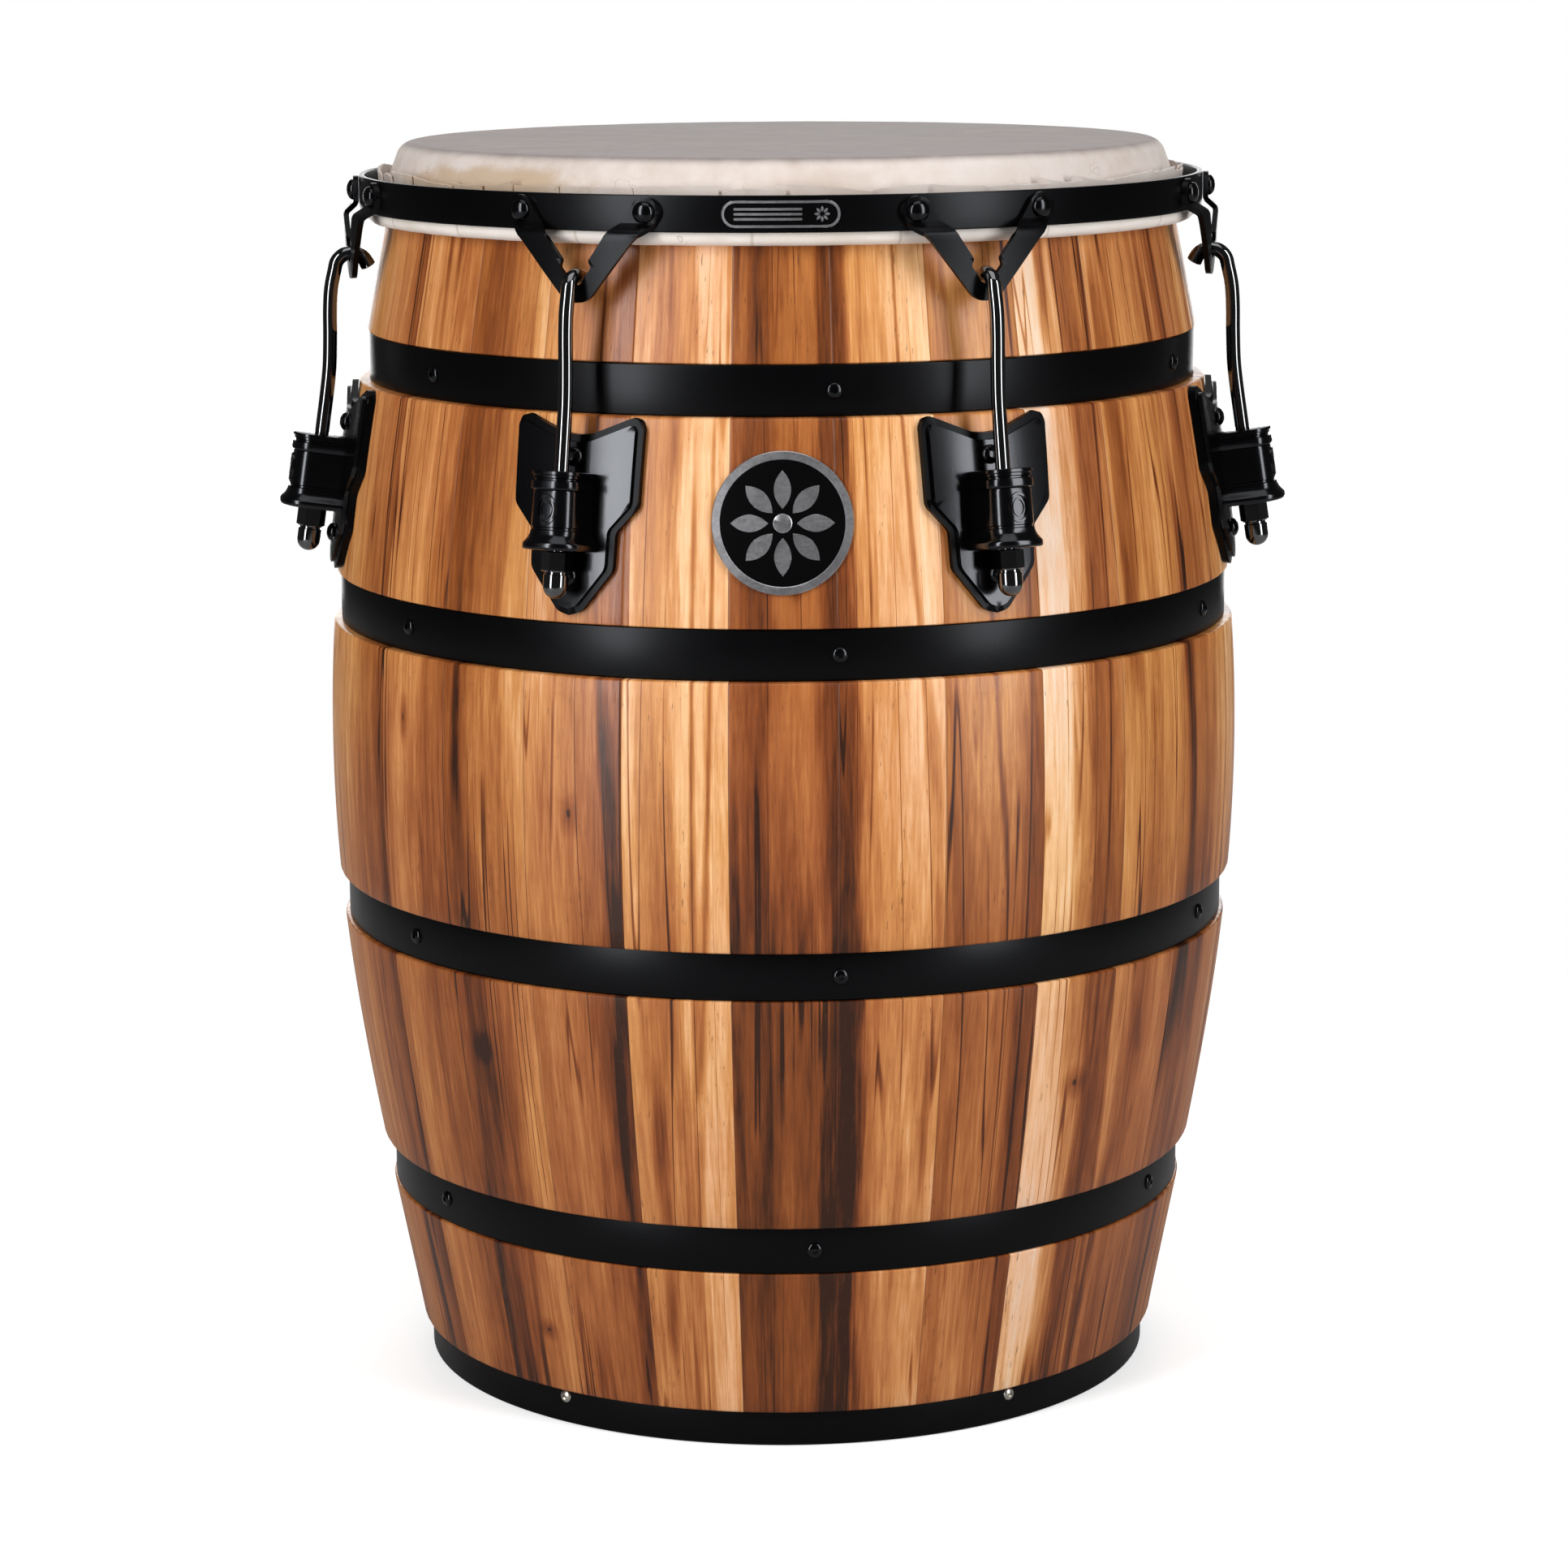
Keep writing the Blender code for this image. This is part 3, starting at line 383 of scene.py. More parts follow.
def painted_metal(name, colour, roughness, peel_scale, peel, gloss_change, dust, **values):
    """Peel is how strong the orange peel is; the other values go to the shader."""
    material, tree, shader = principled(name, **values)
    at = object_place(tree)
    coat = place_group(tree, PAINT, Vector=at, Peel_Scale=peel_scale, Gloss_Change=gloss_change, Dust=dust)
    shader.inputs["Specular Tint"].default_value = COOL_GLEAM
    dusty = tuple(c * 2.2 + 0.018 for c in colour)
    shade = marked(tree, (*colour, 1), coat["Dust"], 0.7, dusty)
    tree.links.new(shade, shader.inputs["Base Color"])
    rough = plus(tree, roughness, coat["Roughness Change"])
    rough = plus(tree, rough, times(tree, coat["Dust"], 0.25), clamp=True)
    tree.links.new(rough, shader.inputs["Roughness"])
    add_bump(tree, shader, coat["Height"], peel, 0.0002)
    return material


# %% Black steels, casting and rubber
SATIN_BLACK = painted_metal(
    "satin_black_steel", (0.0011, 0.0011, 0.0013), 0.29, 1100.0, 0.08, 0.10, 0.05, Specular_IOR_Level=0.14
)
GLOSS_BLACK = painted_metal(
    "gloss_black_steel", (0.0004, 0.0004, 0.0005), 0.045, 500.0, 0.01, 0.02, 0.02,
    Specular_IOR_Level=1.0, Coat_Weight=1.0, Coat_IOR=1.8,
)
BLACK_CASTING = painted_metal(
    "black_casting", (0.0010, 0.0010, 0.0013), 0.17, 700.0, 0.05, 0.06, 0.06, Specular_IOR_Level=0.42
)
RUBBER = painted_metal(
    "black_rubber", (0.0010, 0.0010, 0.0011), 0.30, 1600.0, 0.12, 0.10, 0.16, Specular_IOR_Level=0.10
)
SCREW_BLACK = painted_metal(
    "black_screws", (0.0006, 0.0006, 0.0007), 0.16, 500.0, 0.01, 0.03, 0.03, Specular_IOR_Level=0.36
)
print("black finishes:", [m.name for m in (SATIN_BLACK, GLOSS_BLACK, BLACK_CASTING, RUBBER, SCREW_BLACK)])


# %% [markdown]
# ## Wood
#
# The staves are cut from a hardwood with cream sapwood and dark brown heartwood, so one stave can hold every
# shade. Each stave carries five tones across its width. The material blends from one to the next, but first it
# pushes the borders about with a stretched noise, and so they wander up the stave as real growth rings do.
# Streaks, thin mineral lines, flecks and a few knots go on top. Stretching the pattern along the stave is what
# makes it read as timber: the same noise unstretched would look like stone.

# %% Long grain as a shared group
GRAIN, given, result = new_group(
    "long_grain",
    [("Vector", "Vector", None), ("Across", "Float", 60.0), ("Along", "Float", 2.0),
     ("Shift", "Float", 0.0), ("Detail", "Float", 3.0), ("Waviness", "Float", 0.3)],
    [("Value", "Float")],
)
parts = put(GRAIN, "ShaderNodeSeparateXYZ", {0: given["Vector"]})
across = times(GRAIN, parts.outputs["X"], given["Across"])
along = times(GRAIN, parts.outputs["Y"], given["Along"])
spot = put(GRAIN, "ShaderNodeCombineXYZ", {"X": across, "Y": along, "Z": given["Shift"]})
streaks = noise_value(GRAIN, spot.outputs[0], 1.0, detail=given["Detail"], distortion=given["Waviness"])
GRAIN.links.new(streaks, result["Value"])


# %% Knots as a shared group
KNOT, given, result = new_group(
    "knot",
    [("Vector", "Vector", None), ("Place", "Vector", (0, 0, 0)), ("Size", "Float", 0.004),
     ("Length", "Float", 1.6)],
    [("Mask", "Float"), ("Halo", "Float")],
)
from_knot = {0: given["Vector"], 1: given["Place"]}
away = put(KNOT, "ShaderNodeVectorMath", from_knot, operation="SUBTRACT").outputs[0]
away = put(KNOT, "ShaderNodeSeparateXYZ", {0: away})
tall = calc(KNOT, "DIVIDE", away.outputs["Z"], given["Length"])
flat = put(KNOT, "ShaderNodeCombineXYZ", {"X": away.outputs["X"], "Y": away.outputs["Y"], "Z": tall})
reach = length_of(KNOT, flat.outputs[0])
rough_edge = noise_value(KNOT, given["Vector"], 260.0, detail=2.0)
wobble = times(KNOT, rough_edge, times(KNOT, given["Size"], 0.9))
reach = calc(KNOT, "DIVIDE", plus(KNOT, reach, wobble), given["Size"])
KNOT.links.new(remap(KNOT, reach, 1.5, 0.8), result["Mask"])
KNOT.links.new(remap(KNOT, reach, 6.0, 0.6), result["Halo"])


# %% The barrel's curve
STAVES = 28
BELLY_RADIUS, BELLY_HEIGHT = 263.6 * MM, 366.3 * MM
END_DROP, SPAN, FULLNESS = 48.9 * MM, 360.0 * MM, 0.36
WALL = 12.0 * MM
HALF_STAVE = math.pi / STAVES * BELLY_RADIUS
print("a stave is", round(2 * HALF_STAVE / MM, 1), "mm wide at the belly")


def barrel_radius(height):
    """Outside radius of the staves."""
    t2 = ((height - BELLY_HEIGHT) / SPAN) ** 2
    return BELLY_RADIUS - END_DROP * ((1 + FULLNESS) * t2 - FULLNESS * t2 * t2)


def on_barrel(turn, height, off=0.0):
    """A point at this turn from the front, this far off the staves, in the drum's place."""
    radius = barrel_radius(height) + off
    return AXIS + Vector((radius * math.sin(turn), -radius * math.cos(turn), height))


# %% Where the knots are
# turn in degrees, height in metres, size in millimetres, and how long a knot is for its width
KNOTS = [
    (-53, 0.404, 2.2, 3.4),
    (-26, 0.365, 3.2, 2.0),
    (-41, 0.2245, 4.0, 1.2),
    (39.5, 0.203, 4.6, 1.1),
    (-36.5, 0.058, 3.4, 1.0),
    (1.5, 0.492, 2.0, 2.6),
    (118, 0.30, 4.4, 1.3),
    (-152, 0.42, 3.8, 1.6),
]
print(len(KNOTS), "knots")

# %% Stave wood: grain to draw with
STAVE_WOOD, tree, shader = principled("stave_wood", Specular_IOR_Level=0.34)
uv = put(tree, "ShaderNodeUVMap", uv_map="along_stave").outputs["UV"]
shift = put(tree, "ShaderNodeAttribute", attribute_name="grain_shift").outputs["Fac"]
uv_parts = put(tree, "ShaderNodeSeparateXYZ", {0: uv})


def grain(across, along, waviness=0.3, detail=3.0):
    return place_group(
        tree, GRAIN, Vector=uv, Across=across, Along=along, Shift=shift, Detail=detail, Waviness=waviness
    )["Value"]


# %% Stave wood: five tones across
# the place across the stave, from -1 to 1, pushed about so that the borders of the tones wander
side = calc(tree, "DIVIDE", uv_parts.outputs["X"], HALF_STAVE)
drift = swung(tree, grain(9.0, 3.2), 0.95)
feather = swung(tree, grain(420.0, 14.0, detail=4.0), 0.42)
side = plus(tree, side, plus(tree, drift, feather))
BORDERS, BORDER_BLUR = (-0.62, -0.22, 0.22, 0.62), 0.16
bands = [put(tree, "ShaderNodeAttribute", attribute_name=f"tone_{k}").outputs["Fac"] for k in range(1, 6)]
tone = bands[0]
for border, low, high in zip(BORDERS, bands, bands[1:]):
    step = remap(tree, side, border - BORDER_BLUR, border + BORDER_BLUR)
    tone = plus(tree, tone, times(tree, minus(tree, high, low), step))

# broad changes along the stave, streaks, and fine fibres
STREAKS = ((26.0, 2.6, 0.8, 0.50), (120.0, 7.0, 0.8, 0.38), (560.0, 34.0, 0.4, 0.34))
for across, along, waviness, amount in STREAKS:
    tone = plus(tree, tone, swung(tree, grain(across, along, waviness), amount))
figure = swung(tree, grain(16.0, 46.0, 1.6), 0.05)
tone = plus(tree, tone, figure)
# the colour is made darker towards the foot
place = object_place(tree)
height_up = put(tree, "ShaderNodeSeparateXYZ", {0: place}).outputs["Z"]
tone = plus(tree, tone, remap(tree, height_up, 0.44, 0.27, 0.0, 0.15))

# %% Stave wood: growth lines and knots
# dark growth lines: thin level lines of a very long noise, broken up by another
level = calc(tree, "ABSOLUTE", minus(tree, grain(75.0, 1.5, 0.2, 1.0), 0.47))
line = remap(tree, level, 0.016, 0.002)
line = times(tree, line, remap(tree, grain(22.0, 5.0), 0.42, 0.60))
wide_level = calc(tree, "ABSOLUTE", minus(tree, grain(30.0, 1.1, 0.3, 1.0), 0.56))
wide_line = remap(tree, wide_level, 0.040, 0.0)
wide_line = times(tree, wide_line, remap(tree, grain(12.0, 3.4), 0.42, 0.58))
tone = plus(tree, tone, times(tree, wide_line, 0.30))
tone = plus(tree, tone, times(tree, line, 0.42))

halo, core = None, None
for turn, height, size, length in KNOTS:
    spot = on_barrel(math.radians(turn), height)
    marks = place_group(tree, KNOT, Vector=place, Place=spot, Size=size * MM * 0.5, Length=length)
    core = marks["Mask"] if core is None else calc(tree, "MAXIMUM", core, marks["Mask"])
    halo = marks["Halo"] if halo is None else calc(tree, "MAXIMUM", halo, marks["Halo"])
tone = plus(tree, tone, times(tree, halo, 0.22))

# %% Stave wood: colours
WOOD_TONES = [
    (0.00, (0.93, 0.75, 0.57)),
    (0.18, (0.90, 0.55, 0.30)),
    (0.38, (0.63, 0.285, 0.094)),
    (0.56, (0.40, 0.138, 0.038)),
    (0.74, (0.225, 0.062, 0.015)),
    (0.90, (0.098, 0.026, 0.007)),
    (1.00, (0.032, 0.010, 0.004)),
]
colour = ramp(tree, tone, WOOD_TONES)
# some staves lean to pink and some to gold
slowly_up = times(tree, uv_parts.outputs["Y"], 1.2)
of_stave = put(tree, "ShaderNodeCombineXYZ", {"X": shift, "Y": slowly_up}).outputs[0]
lean = noise_value(tree, of_stave, 3.1)
lean = remap(tree, lean, 0.36, 0.64)
PINKER, MORE_GOLD = (1.0, 0.93, 0.96, 1), (1.03, 1.0, 0.88, 1)
tint = blend(tree, lean, PINKER, MORE_GOLD)
colour = blend(tree, 1.0, colour, tint, "MULTIPLY")
# short dark flecks lie along the grain
stretched = scaled(tree, uv, (1.0, 0.16, 1.0))
flecks = place_group(tree, FLECKS, Vector=stretched, Scale=620.0, Amount=0.50, Patches=28.0)["Mask"]
colour = marked(tree, colour, flecks, 0.60, (0.10, 0.035, 0.015))
pores = remap(tree, grain(2600.0, 120.0, 0.0, 1.0), 0.62, 0.74)
colour = marked(tree, colour, pores, 0.20, (0.12, 0.05, 0.02))
colour = marked(tree, colour, core, 0.9, (0.035, 0.013, 0.007))
# the joint between two staves is a thin dark glue line
from_middle = calc(tree, "ABSOLUTE", uv_parts.outputs["X"])
joint = remap(tree, from_middle, HALF_STAVE - 0.45 * MM, HALF_STAVE - 0.05 * MM)
colour = marked(tree, colour, joint, 0.35, (0.09, 0.035, 0.016))
tree.links.new(colour, shader.inputs["Base Color"])

# %% Stave wood: gloss and relief
rough = plus(tree, 0.34, swung(tree, grain(300.0, 10.0), 0.22))
rough = plus(tree, rough, times(tree, pores, 0.15))
tree.links.new(rough, shader.inputs["Roughness"])
height = minus(tree, times(tree, grain(900.0, 30.0, 0.1), 0.6), times(tree, pores, 0.5))
height = minus(tree, height, times(tree, core, 1.2))
add_bump(tree, shader, height, 0.16, 0.0004)
print("stave wood has", len(tree.nodes), "nodes")


# %% [markdown]
# ## Natural skin
#
# A thick hide, scraped and dried, is grey-beige on top and paler on the collar, where it is stretched. It has
# faint clouds, small brown freckles and hairline scratches, and an old stain on one side. Where it is wrapped
# round the flesh hoop it is cream, with thin pleats here and there. Each is a shallow groove darkened with
# painted shade. The pleats are lines at set turns round the axis, so the material needs the angle of each point,
# which an arctangent gives.

# %% Skin: colours of the top, the collar and the roll
SKIN, tree, shader = principled("natural_skin", Specular_IOR_Level=0.35)
where = put(tree, "ShaderNodeMapping", {"Vector": object_place(tree), "Location": tuple(-AXIS)}).outputs[0]
axes = put(tree, "ShaderNodeSeparateXYZ", {0: where})
clouds = place_group(tree, MOTTLE, Vector=where, Scale=9.0, Fine_Scale=75.0, Fine_Share=0.35)["Value"]
top_colour, side_colour, roll_colour = (
    ramp(tree, clouds, list(zip((0.34, 0.50, 0.66), shades)))
    for shades in (
        ((0.235, 0.195, 0.182), (0.300, 0.252, 0.240), (0.375, 0.315, 0.295)),
        ((0.56, 0.465, 0.405), (0.655, 0.575, 0.525), (0.72, 0.66, 0.625)),
        ((0.78, 0.70, 0.62), (0.87, 0.80, 0.735), (0.92, 0.87, 0.82)),
    )
)
sideways = put(tree, "ShaderNodeCombineXYZ", {"X": axes.outputs["X"], "Y": axes.outputs["Y"]}).outputs[0]
from_axis = length_of(tree, sideways)
ragged = swung(tree, clouds, 0.003)
on_collar = remap(tree, plus(tree, from_axis, ragged), 0.2120, 0.2185)
colour = blend(tree, on_collar, top_colour, side_colour)
on_roll = remap(tree, axes.outputs["Z"], 683.5 * MM, 680.5 * MM)
colour = blend(tree, on_roll, colour, roll_colour)

# %% Skin: an old tan stain on the left of the collar
STAIN_TURN, STAIN_HALF_TURN = math.radians(-47), math.radians(19)
STAIN_HEIGHT, STAIN_HALF_HEIGHT = 695.5 * MM, 8.5 * MM
around = calc(tree, "ARCTAN2", axes.outputs["X"], times(tree, axes.outputs["Y"], -1.0))
near = calc(tree, "DIVIDE", minus(tree, around, STAIN_TURN), STAIN_HALF_TURN)
low = calc(tree, "DIVIDE", minus(tree, axes.outputs["Z"], STAIN_HEIGHT), STAIN_HALF_HEIGHT)
far = calc(tree, "SQRT", plus(tree, calc(tree, "POWER", near, 2.0), calc(tree, "POWER", low, 2.0)))
fuzzy = plus(tree, far, swung(tree, clouds, 2.4))
colour = marked(tree, colour, remap(tree, fuzzy, 1.15, 0.55), 0.72, (0.50, 0.355, 0.22))

# %% Skin: freckles, and scratches on the top
freckles = place_group(tree, FLECKS, Vector=where, Scale=900.0, Amount=0.34, Patches=30.0)["Mask"]
colour = marked(tree, colour, freckles, 0.30, (0.30, 0.17, 0.10))
large_freckles = place_group(tree, FLECKS, Vector=where, Scale=240.0, Amount=0.20, Patches=14.0)["Mask"]
colour = marked(tree, colour, large_freckles, 0.45, (0.16, 0.09, 0.06))
long_way = {"Vector": where, "Rotation": (0, 0, 0.5), "Scale": (1.0, 0.07, 1.0)}
slanted = put(tree, "ShaderNodeMapping", long_way).outputs[0]
scratch = calc(tree, "ABSOLUTE", minus(tree, noise_value(tree, slanted, 55.0, 2.0), 0.5))
here_and_there = remap(tree, noise_value(tree, where, 24.0), 0.55, 0.68)
scratch = times(tree, remap(tree, scratch, 0.0045, 0.0005), here_and_there)
colour = marked(tree, colour, scratch, 0.40, (0.22, 0.15, 0.11))

# %% Skin: pleats of the wrapped edge, with painted shade along them, and relief
round_hoop = plus(tree, times(tree, around, 3.0), times(tree, clouds, 0.06))
cells = put(
    tree, "ShaderNodeTexVoronoi", {"W": round_hoop, "Scale": 1.0, "Randomness": 0.9}, voronoi_dimensions="1D",
    feature="DISTANCE_TO_EDGE",
)
pleat_and_shade = remap(tree, cells.outputs["Distance"], 0.016, 0.002)
pleat_and_shade = times(tree, pleat_and_shade, remap(tree, axes.outputs["Z"], 0.690, 0.684))
# the pleats are darkened in colour: painted shade in their creases
colour = marked(tree, colour, pleat_and_shade, 0.35, (0.36, 0.27, 0.20))
tree.links.new(colour, shader.inputs["Base Color"])
tree.links.new(remap(tree, clouds, 0.3, 0.7, 0.52, 0.68, smooth=False), shader.inputs["Roughness"])
hide = noise_value(tree, where, 1500.0, 2.0)
height = plus(tree, times(tree, hide, 0.35), times(tree, clouds, 0.8))
# the same pleat mask also cuts the real grooves into the relief
height = minus(tree, height, times(tree, pleat_and_shade, 0.9))
height = minus(tree, height, times(tree, scratch, 0.4))
add_bump(tree, shader, height, 0.30, 0.0006)
print("skin has", len(tree.nodes), "nodes")


# %% [markdown]
# ## Bright metals
#
# The base hoop's screws are zinc-plated, and the badge is a plated disc with a brushed ring. Brushing is the
# same stretched noise as wood grain, on a much finer scale.

# %% Zinc, badge silver and badge black
def bright_metal(name, colour, roughness, brush_across, brush_along):
    material, tree, shader = principled(name, Metallic=1.0)
    place = object_place(tree)
    turned = put(tree, "ShaderNodeMapping", {"Vector": place, "Rotation": (math.pi / 2, 0, 0)}).outputs[0]
    size = {"Across": brush_across, "Along": brush_along}
    brushed = place_group(tree, GRAIN, Vector=turned, Shift=0.0, Detail=2.0, Waviness=0.0, **size)["Value"]
    stains = place_group(tree, MOTTLE, Vector=place, Scale=60.0, Fine_Scale=500.0, Fine_Share=0.4)["Value"]
    darker = tuple(c * 0.72 for c in colour)
    shade = blend(tree, remap(tree, stains, 0.40, 0.62), (*darker, 1), (*colour, 1))
    tree.links.new(shade, shader.inputs["Base Color"])
    rough = plus(tree, roughness, swung(tree, brushed, 0.3), clamp=True)
    tree.links.new(rough, shader.inputs["Roughness"])
    add_bump(tree, shader, brushed, 0.12, 0.0001)
    return material


ZINC = bright_metal("zinc_steel", (0.60, 0.57, 0.52), 0.32, 900.0, 900.0)
SILVER = bright_metal("badge_metal", (0.58, 0.58, 0.61), 0.36, 120.0, 4200.0)
BADGE_BLACK = painted_metal(
    "badge_enamel", (0.0012, 0.0012, 0.0013), 0.22, 400.0, 0.05, 0.06, 0.16, Specular_IOR_Level=0.3
)
print("badge and screw finishes:", [m.name for m in (ZINC, SILVER, BADGE_BLACK)])


# %% [markdown]
# ## Repeating round the axis
#
# A cask is one stave again and again, and the hardware is one station seven times over. A small Geometry Nodes
# tree does both: it puts copies of a piece round the Z axis, numbers each copy, gives each a random shift for its
# grain, and makes them real mesh. The result is then kept as plain mesh.

# %% Geometry Nodes tree that repeats a piece round the axis
RING = bpy.data.node_groups.new("repeat_round_axis", "GeometryNodeTree")
for label, kind, value in (
    ("Geometry", "Geometry", None), ("Count", "Int", 7), ("First Turn", "Float", 0.0),
    ("Turn Step", "Float", 0.9), ("Seed", "Int", 5), ("Finish", "Material", None),
):
    socket = RING.interface.new_socket(label, in_out="INPUT", socket_type=f"NodeSocket{kind}")
    if value is not None:
        socket.default_value = value
RING.interface.new_socket("Geometry", in_out="OUTPUT", socket_type="NodeSocketGeometry")
given = put(RING, "NodeGroupInput").outputs
points = put(RING, "GeometryNodePoints", {"Count": given["Count"]})
number = put(RING, "GeometryNodeInputIndex").outputs[0]
turn = plus(RING, given["First Turn"], times(RING, number, given["Turn Step"]))
euler = put(RING, "ShaderNodeCombineXYZ", {"Z": turn}).outputs[0]
rotation = put(RING, "FunctionNodeEulerToRotation", {0: euler}).outputs[0]
copies = put(
    RING, "GeometryNodeInstanceOnPoints",
    {"Points": points.outputs[0], "Instance": given["Geometry"], "Rotation": rotation},
)
numbered = put(
    RING, "GeometryNodeStoreNamedAttribute",
    {"Geometry": copies.outputs[0], "Name": "copy_number", "Value": number},
    data_type="INT", domain="INSTANCE",
)
shift = put(
    RING, "FunctionNodeRandomValue", {"Min": 0.0, "Max": 40.0, "ID": number, "Seed": given["Seed"]},
    data_type="FLOAT",
)
shift_value = next(o for o in shift.outputs if o.enabled)
shifted = put(
    RING, "GeometryNodeStoreNamedAttribute",
    {"Geometry": numbered.outputs[0], "Name": "grain_shift", "Value": shift_value},
    data_type="FLOAT", domain="INSTANCE",
)
real = put(RING, "GeometryNodeRealizeInstances", {"Geometry": shifted.outputs[0]})
painted = put(RING, "GeometryNodeSetMaterial", {"Geometry": real.outputs[0], "Material": given["Finish"]})
put(RING, "NodeGroupOutput", {0: painted.outputs[0]})
SOCKETS = {item.name: item.identifier for item in RING.interface.items_tree if item.in_out == "INPUT"}
print("inputs of the ring tree:", list(SOCKETS))


# %% Turn a mesh under construction into a finished piece
def finished_mesh(bm, name, smooth=35, merge=True):
    """Merge, point the faces outwards and shade smooth up to an angle in degrees."""
    if merge:
        bmesh.ops.remove_doubles(bm, verts=bm.verts, dist=2e-6)
    bmesh.ops.recalc_face_normals(bm, faces=bm.faces)
    mesh = bpy.data.meshes.new(name)
    bm.to_mesh(mesh)
    bm.free()
    mesh.shade_smooth()
    mesh.set_sharp_from_angle(angle=math.radians(smooth))
    return mesh


def bridge(bm, first, second):
    """Join two closed rings of points by faces. A pole is a ring of one point repeated."""
    for k in range(len(first)):
        j = (k + 1) % len(first)
        bm.faces.new(dict.fromkeys([first[k], first[j], second[j], second[k]]))


def at_stations(mesh, finish, sideways=0.0):
    """The mesh at every station, turned sideways by an angle."""
    return repeated(mesh, STATIONS, STATION_TURNS[0] + sideways, finish)


def station_names(prefix):
    return [f"{prefix}_{k}" for k in STATION_NUMBERS]


def show_moving(name, mesh, body, node, finish):
    """One piece for each station, because each rides on its own body."""
    for k, turn in zip(STATION_NUMBERS, STATION_TURNS):
        one = mesh.copy()
        one.transform(Matrix.Rotation(turn, 4, "Z"))
        show(f"{name}_{k}", one, f"{body}_{k}", [f"{node}_{k}"], finish)


def show(name, mesh, body, nodes, finish=None):
    """Put a mesh made about the drum's axis in its place, on its body, standing for these nodes."""
    mesh.transform(Matrix.Translation(AXIS))
    mesh.name = name
    if finish:
        mesh.materials.clear()
        mesh.materials.append(finish)
    piece = bpy.data.objects.new(name, mesh)
    bpy.context.scene.collection.objects.link(piece)
    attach(piece, body)
    if nodes:
        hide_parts(*nodes)
    mesh.calc_loop_triangles()
    print(f"{name}: {len(mesh.loop_triangles)} triangles, on {body}")
    return piece


def repeated(mesh, count, first_turn, finish, seed=5):
    """The mesh repeated in equal steps round the axis, as one plain mesh."""
    holder = bpy.data.objects.new("holder", mesh)
    bpy.context.scene.collection.objects.link(holder)
    modifier = holder.modifiers.new("ring", "NODES")
    modifier.node_group = RING
    values = {"Count": count, "First Turn": first_turn, "Turn Step": math.tau / count}
    values |= {"Seed": seed, "Finish": finish}
    for label, value in values.items():
        modifier[SOCKETS[label]] = value
    graph = bpy.context.evaluated_depsgraph_get()
    result = bpy.data.meshes.new_from_object(holder.evaluated_get(graph))
    holder.modifiers.remove(modifier)
    bpy.data.objects.remove(holder)
    return result


# %% [markdown]
# ## Staves
#
# A stave is a long board, bent and tapered, whose outer face is turned round after gluing. Each hoop sits in a
# shallow cylindrical seat, so the barrel's swelling leaves a small ledge on its wide side. The section across the
# stave drops a little at both edges, which draws the thin dark joint between neighbours.

# %% Rows of the outer face, from the foot to the head
CLEARANCE = 0.3 * MM
SHOULDER = 1.5 * MM
ROW_STEP = 9.0 * MM
COLLAR_HEIGHT = 693.0 * MM


def rounded_step(height, seat, direction):
    """The rounded shoulder at a hoop's seat; direction is 1 where the wood is above the seat."""
    wide = barrel_radius(height)
    shoulder = [
        (seat, height),
        (wide - SHOULDER, height),
        (wide - SHOULDER * 0.45, height + direction * SHOULDER * 0.14),
        (wide - SHOULDER * 0.13, height + direction * SHOULDER * 0.46),
        (barrel_radius(height + direction * SHOULDER), height + direction * SHOULDER),
    ]
    return shoulder if direction > 0 else shoulder[::-1]


def between(low, high):
    count = max(1, round((high - low) / ROW_STEP))
    return [low + (high - low) * k / count for k in range(1, count)]


rows = [(HOOPS["base_hoop"][0] - CLEARANCE, 0.0)]
for node, upper in zip(HOOP_NODES, HOOP_NODES[1:] + [None]):
    seat, _, _, top = HOOPS[node]
    start = top + CLEARANCE
    rows += rounded_step(start, seat - CLEARANCE, 1)
    end = HOOPS[upper][2] - CLEARANCE if upper else COLLAR_HEIGHT
    shoulder = SHOULDER if upper else 0
    rows += [(barrel_radius(z), z) for z in between(start + SHOULDER, end - shoulder)]
    if upper:
        rows += rounded_step(end, HOOPS[upper][0] - CLEARANCE, -1)
edge = barrel_radius(COLLAR_HEIGHT)
TOP_EDGE = [(0, 0), (-1.6, 5.0), (-4.6, 11.4), (-7.0, 14.2), (-9.6, 15.4)]
rows += [(edge + r * MM, COLLAR_HEIGHT + z * MM) for r, z in TOP_EDGE]
print(len(rows), "rows")

# %% One stave
half_turn = math.pi / STAVES - 0.05 * MM / BELLY_RADIUS
# (share of the half width, depth below the turned face in mm)
EDGE = [(0.965, 0.0), (0.99, 0.04), (1, 0.16)]
SECTION = [(-share, drop) for share, drop in EDGE[::-1]] + [(-0.6, 0.0), (0.0, 0.0), (0.6, 0.0)] + EDGE

bm = bmesh.new()
uv_layer = bm.loops.layers.uv.new("along_stave")
marks = {}
outer, inner = [], []
for radius, height in rows:
    far, near = [], []
    for share, drop in SECTION:
        angle = share * half_turn
        for line, reach in ((far, radius - drop * MM), (near, barrel_radius(height) - WALL)):
            if line is near and height > COLLAR_HEIGHT:
                reach = edge - WALL
            vertex = bm.verts.new((reach * math.sin(angle), -reach * math.cos(angle), height))
            marks[vertex] = (share * HALF_STAVE, height)
            line.append(vertex)
    outer.append(far)
    inner.append(near)
last = len(SECTION) - 1
for k in range(len(rows) - 1):
    for j in range(last):
        bm.faces.new([outer[k][j], outer[k][j + 1], outer[k + 1][j + 1], outer[k + 1][j]])
        bm.faces.new([inner[k][j], inner[k + 1][j], inner[k + 1][j + 1], inner[k][j + 1]])
    for j in (0, last):
        bm.faces.new([outer[k][j], inner[k][j], inner[k + 1][j], outer[k + 1][j]])
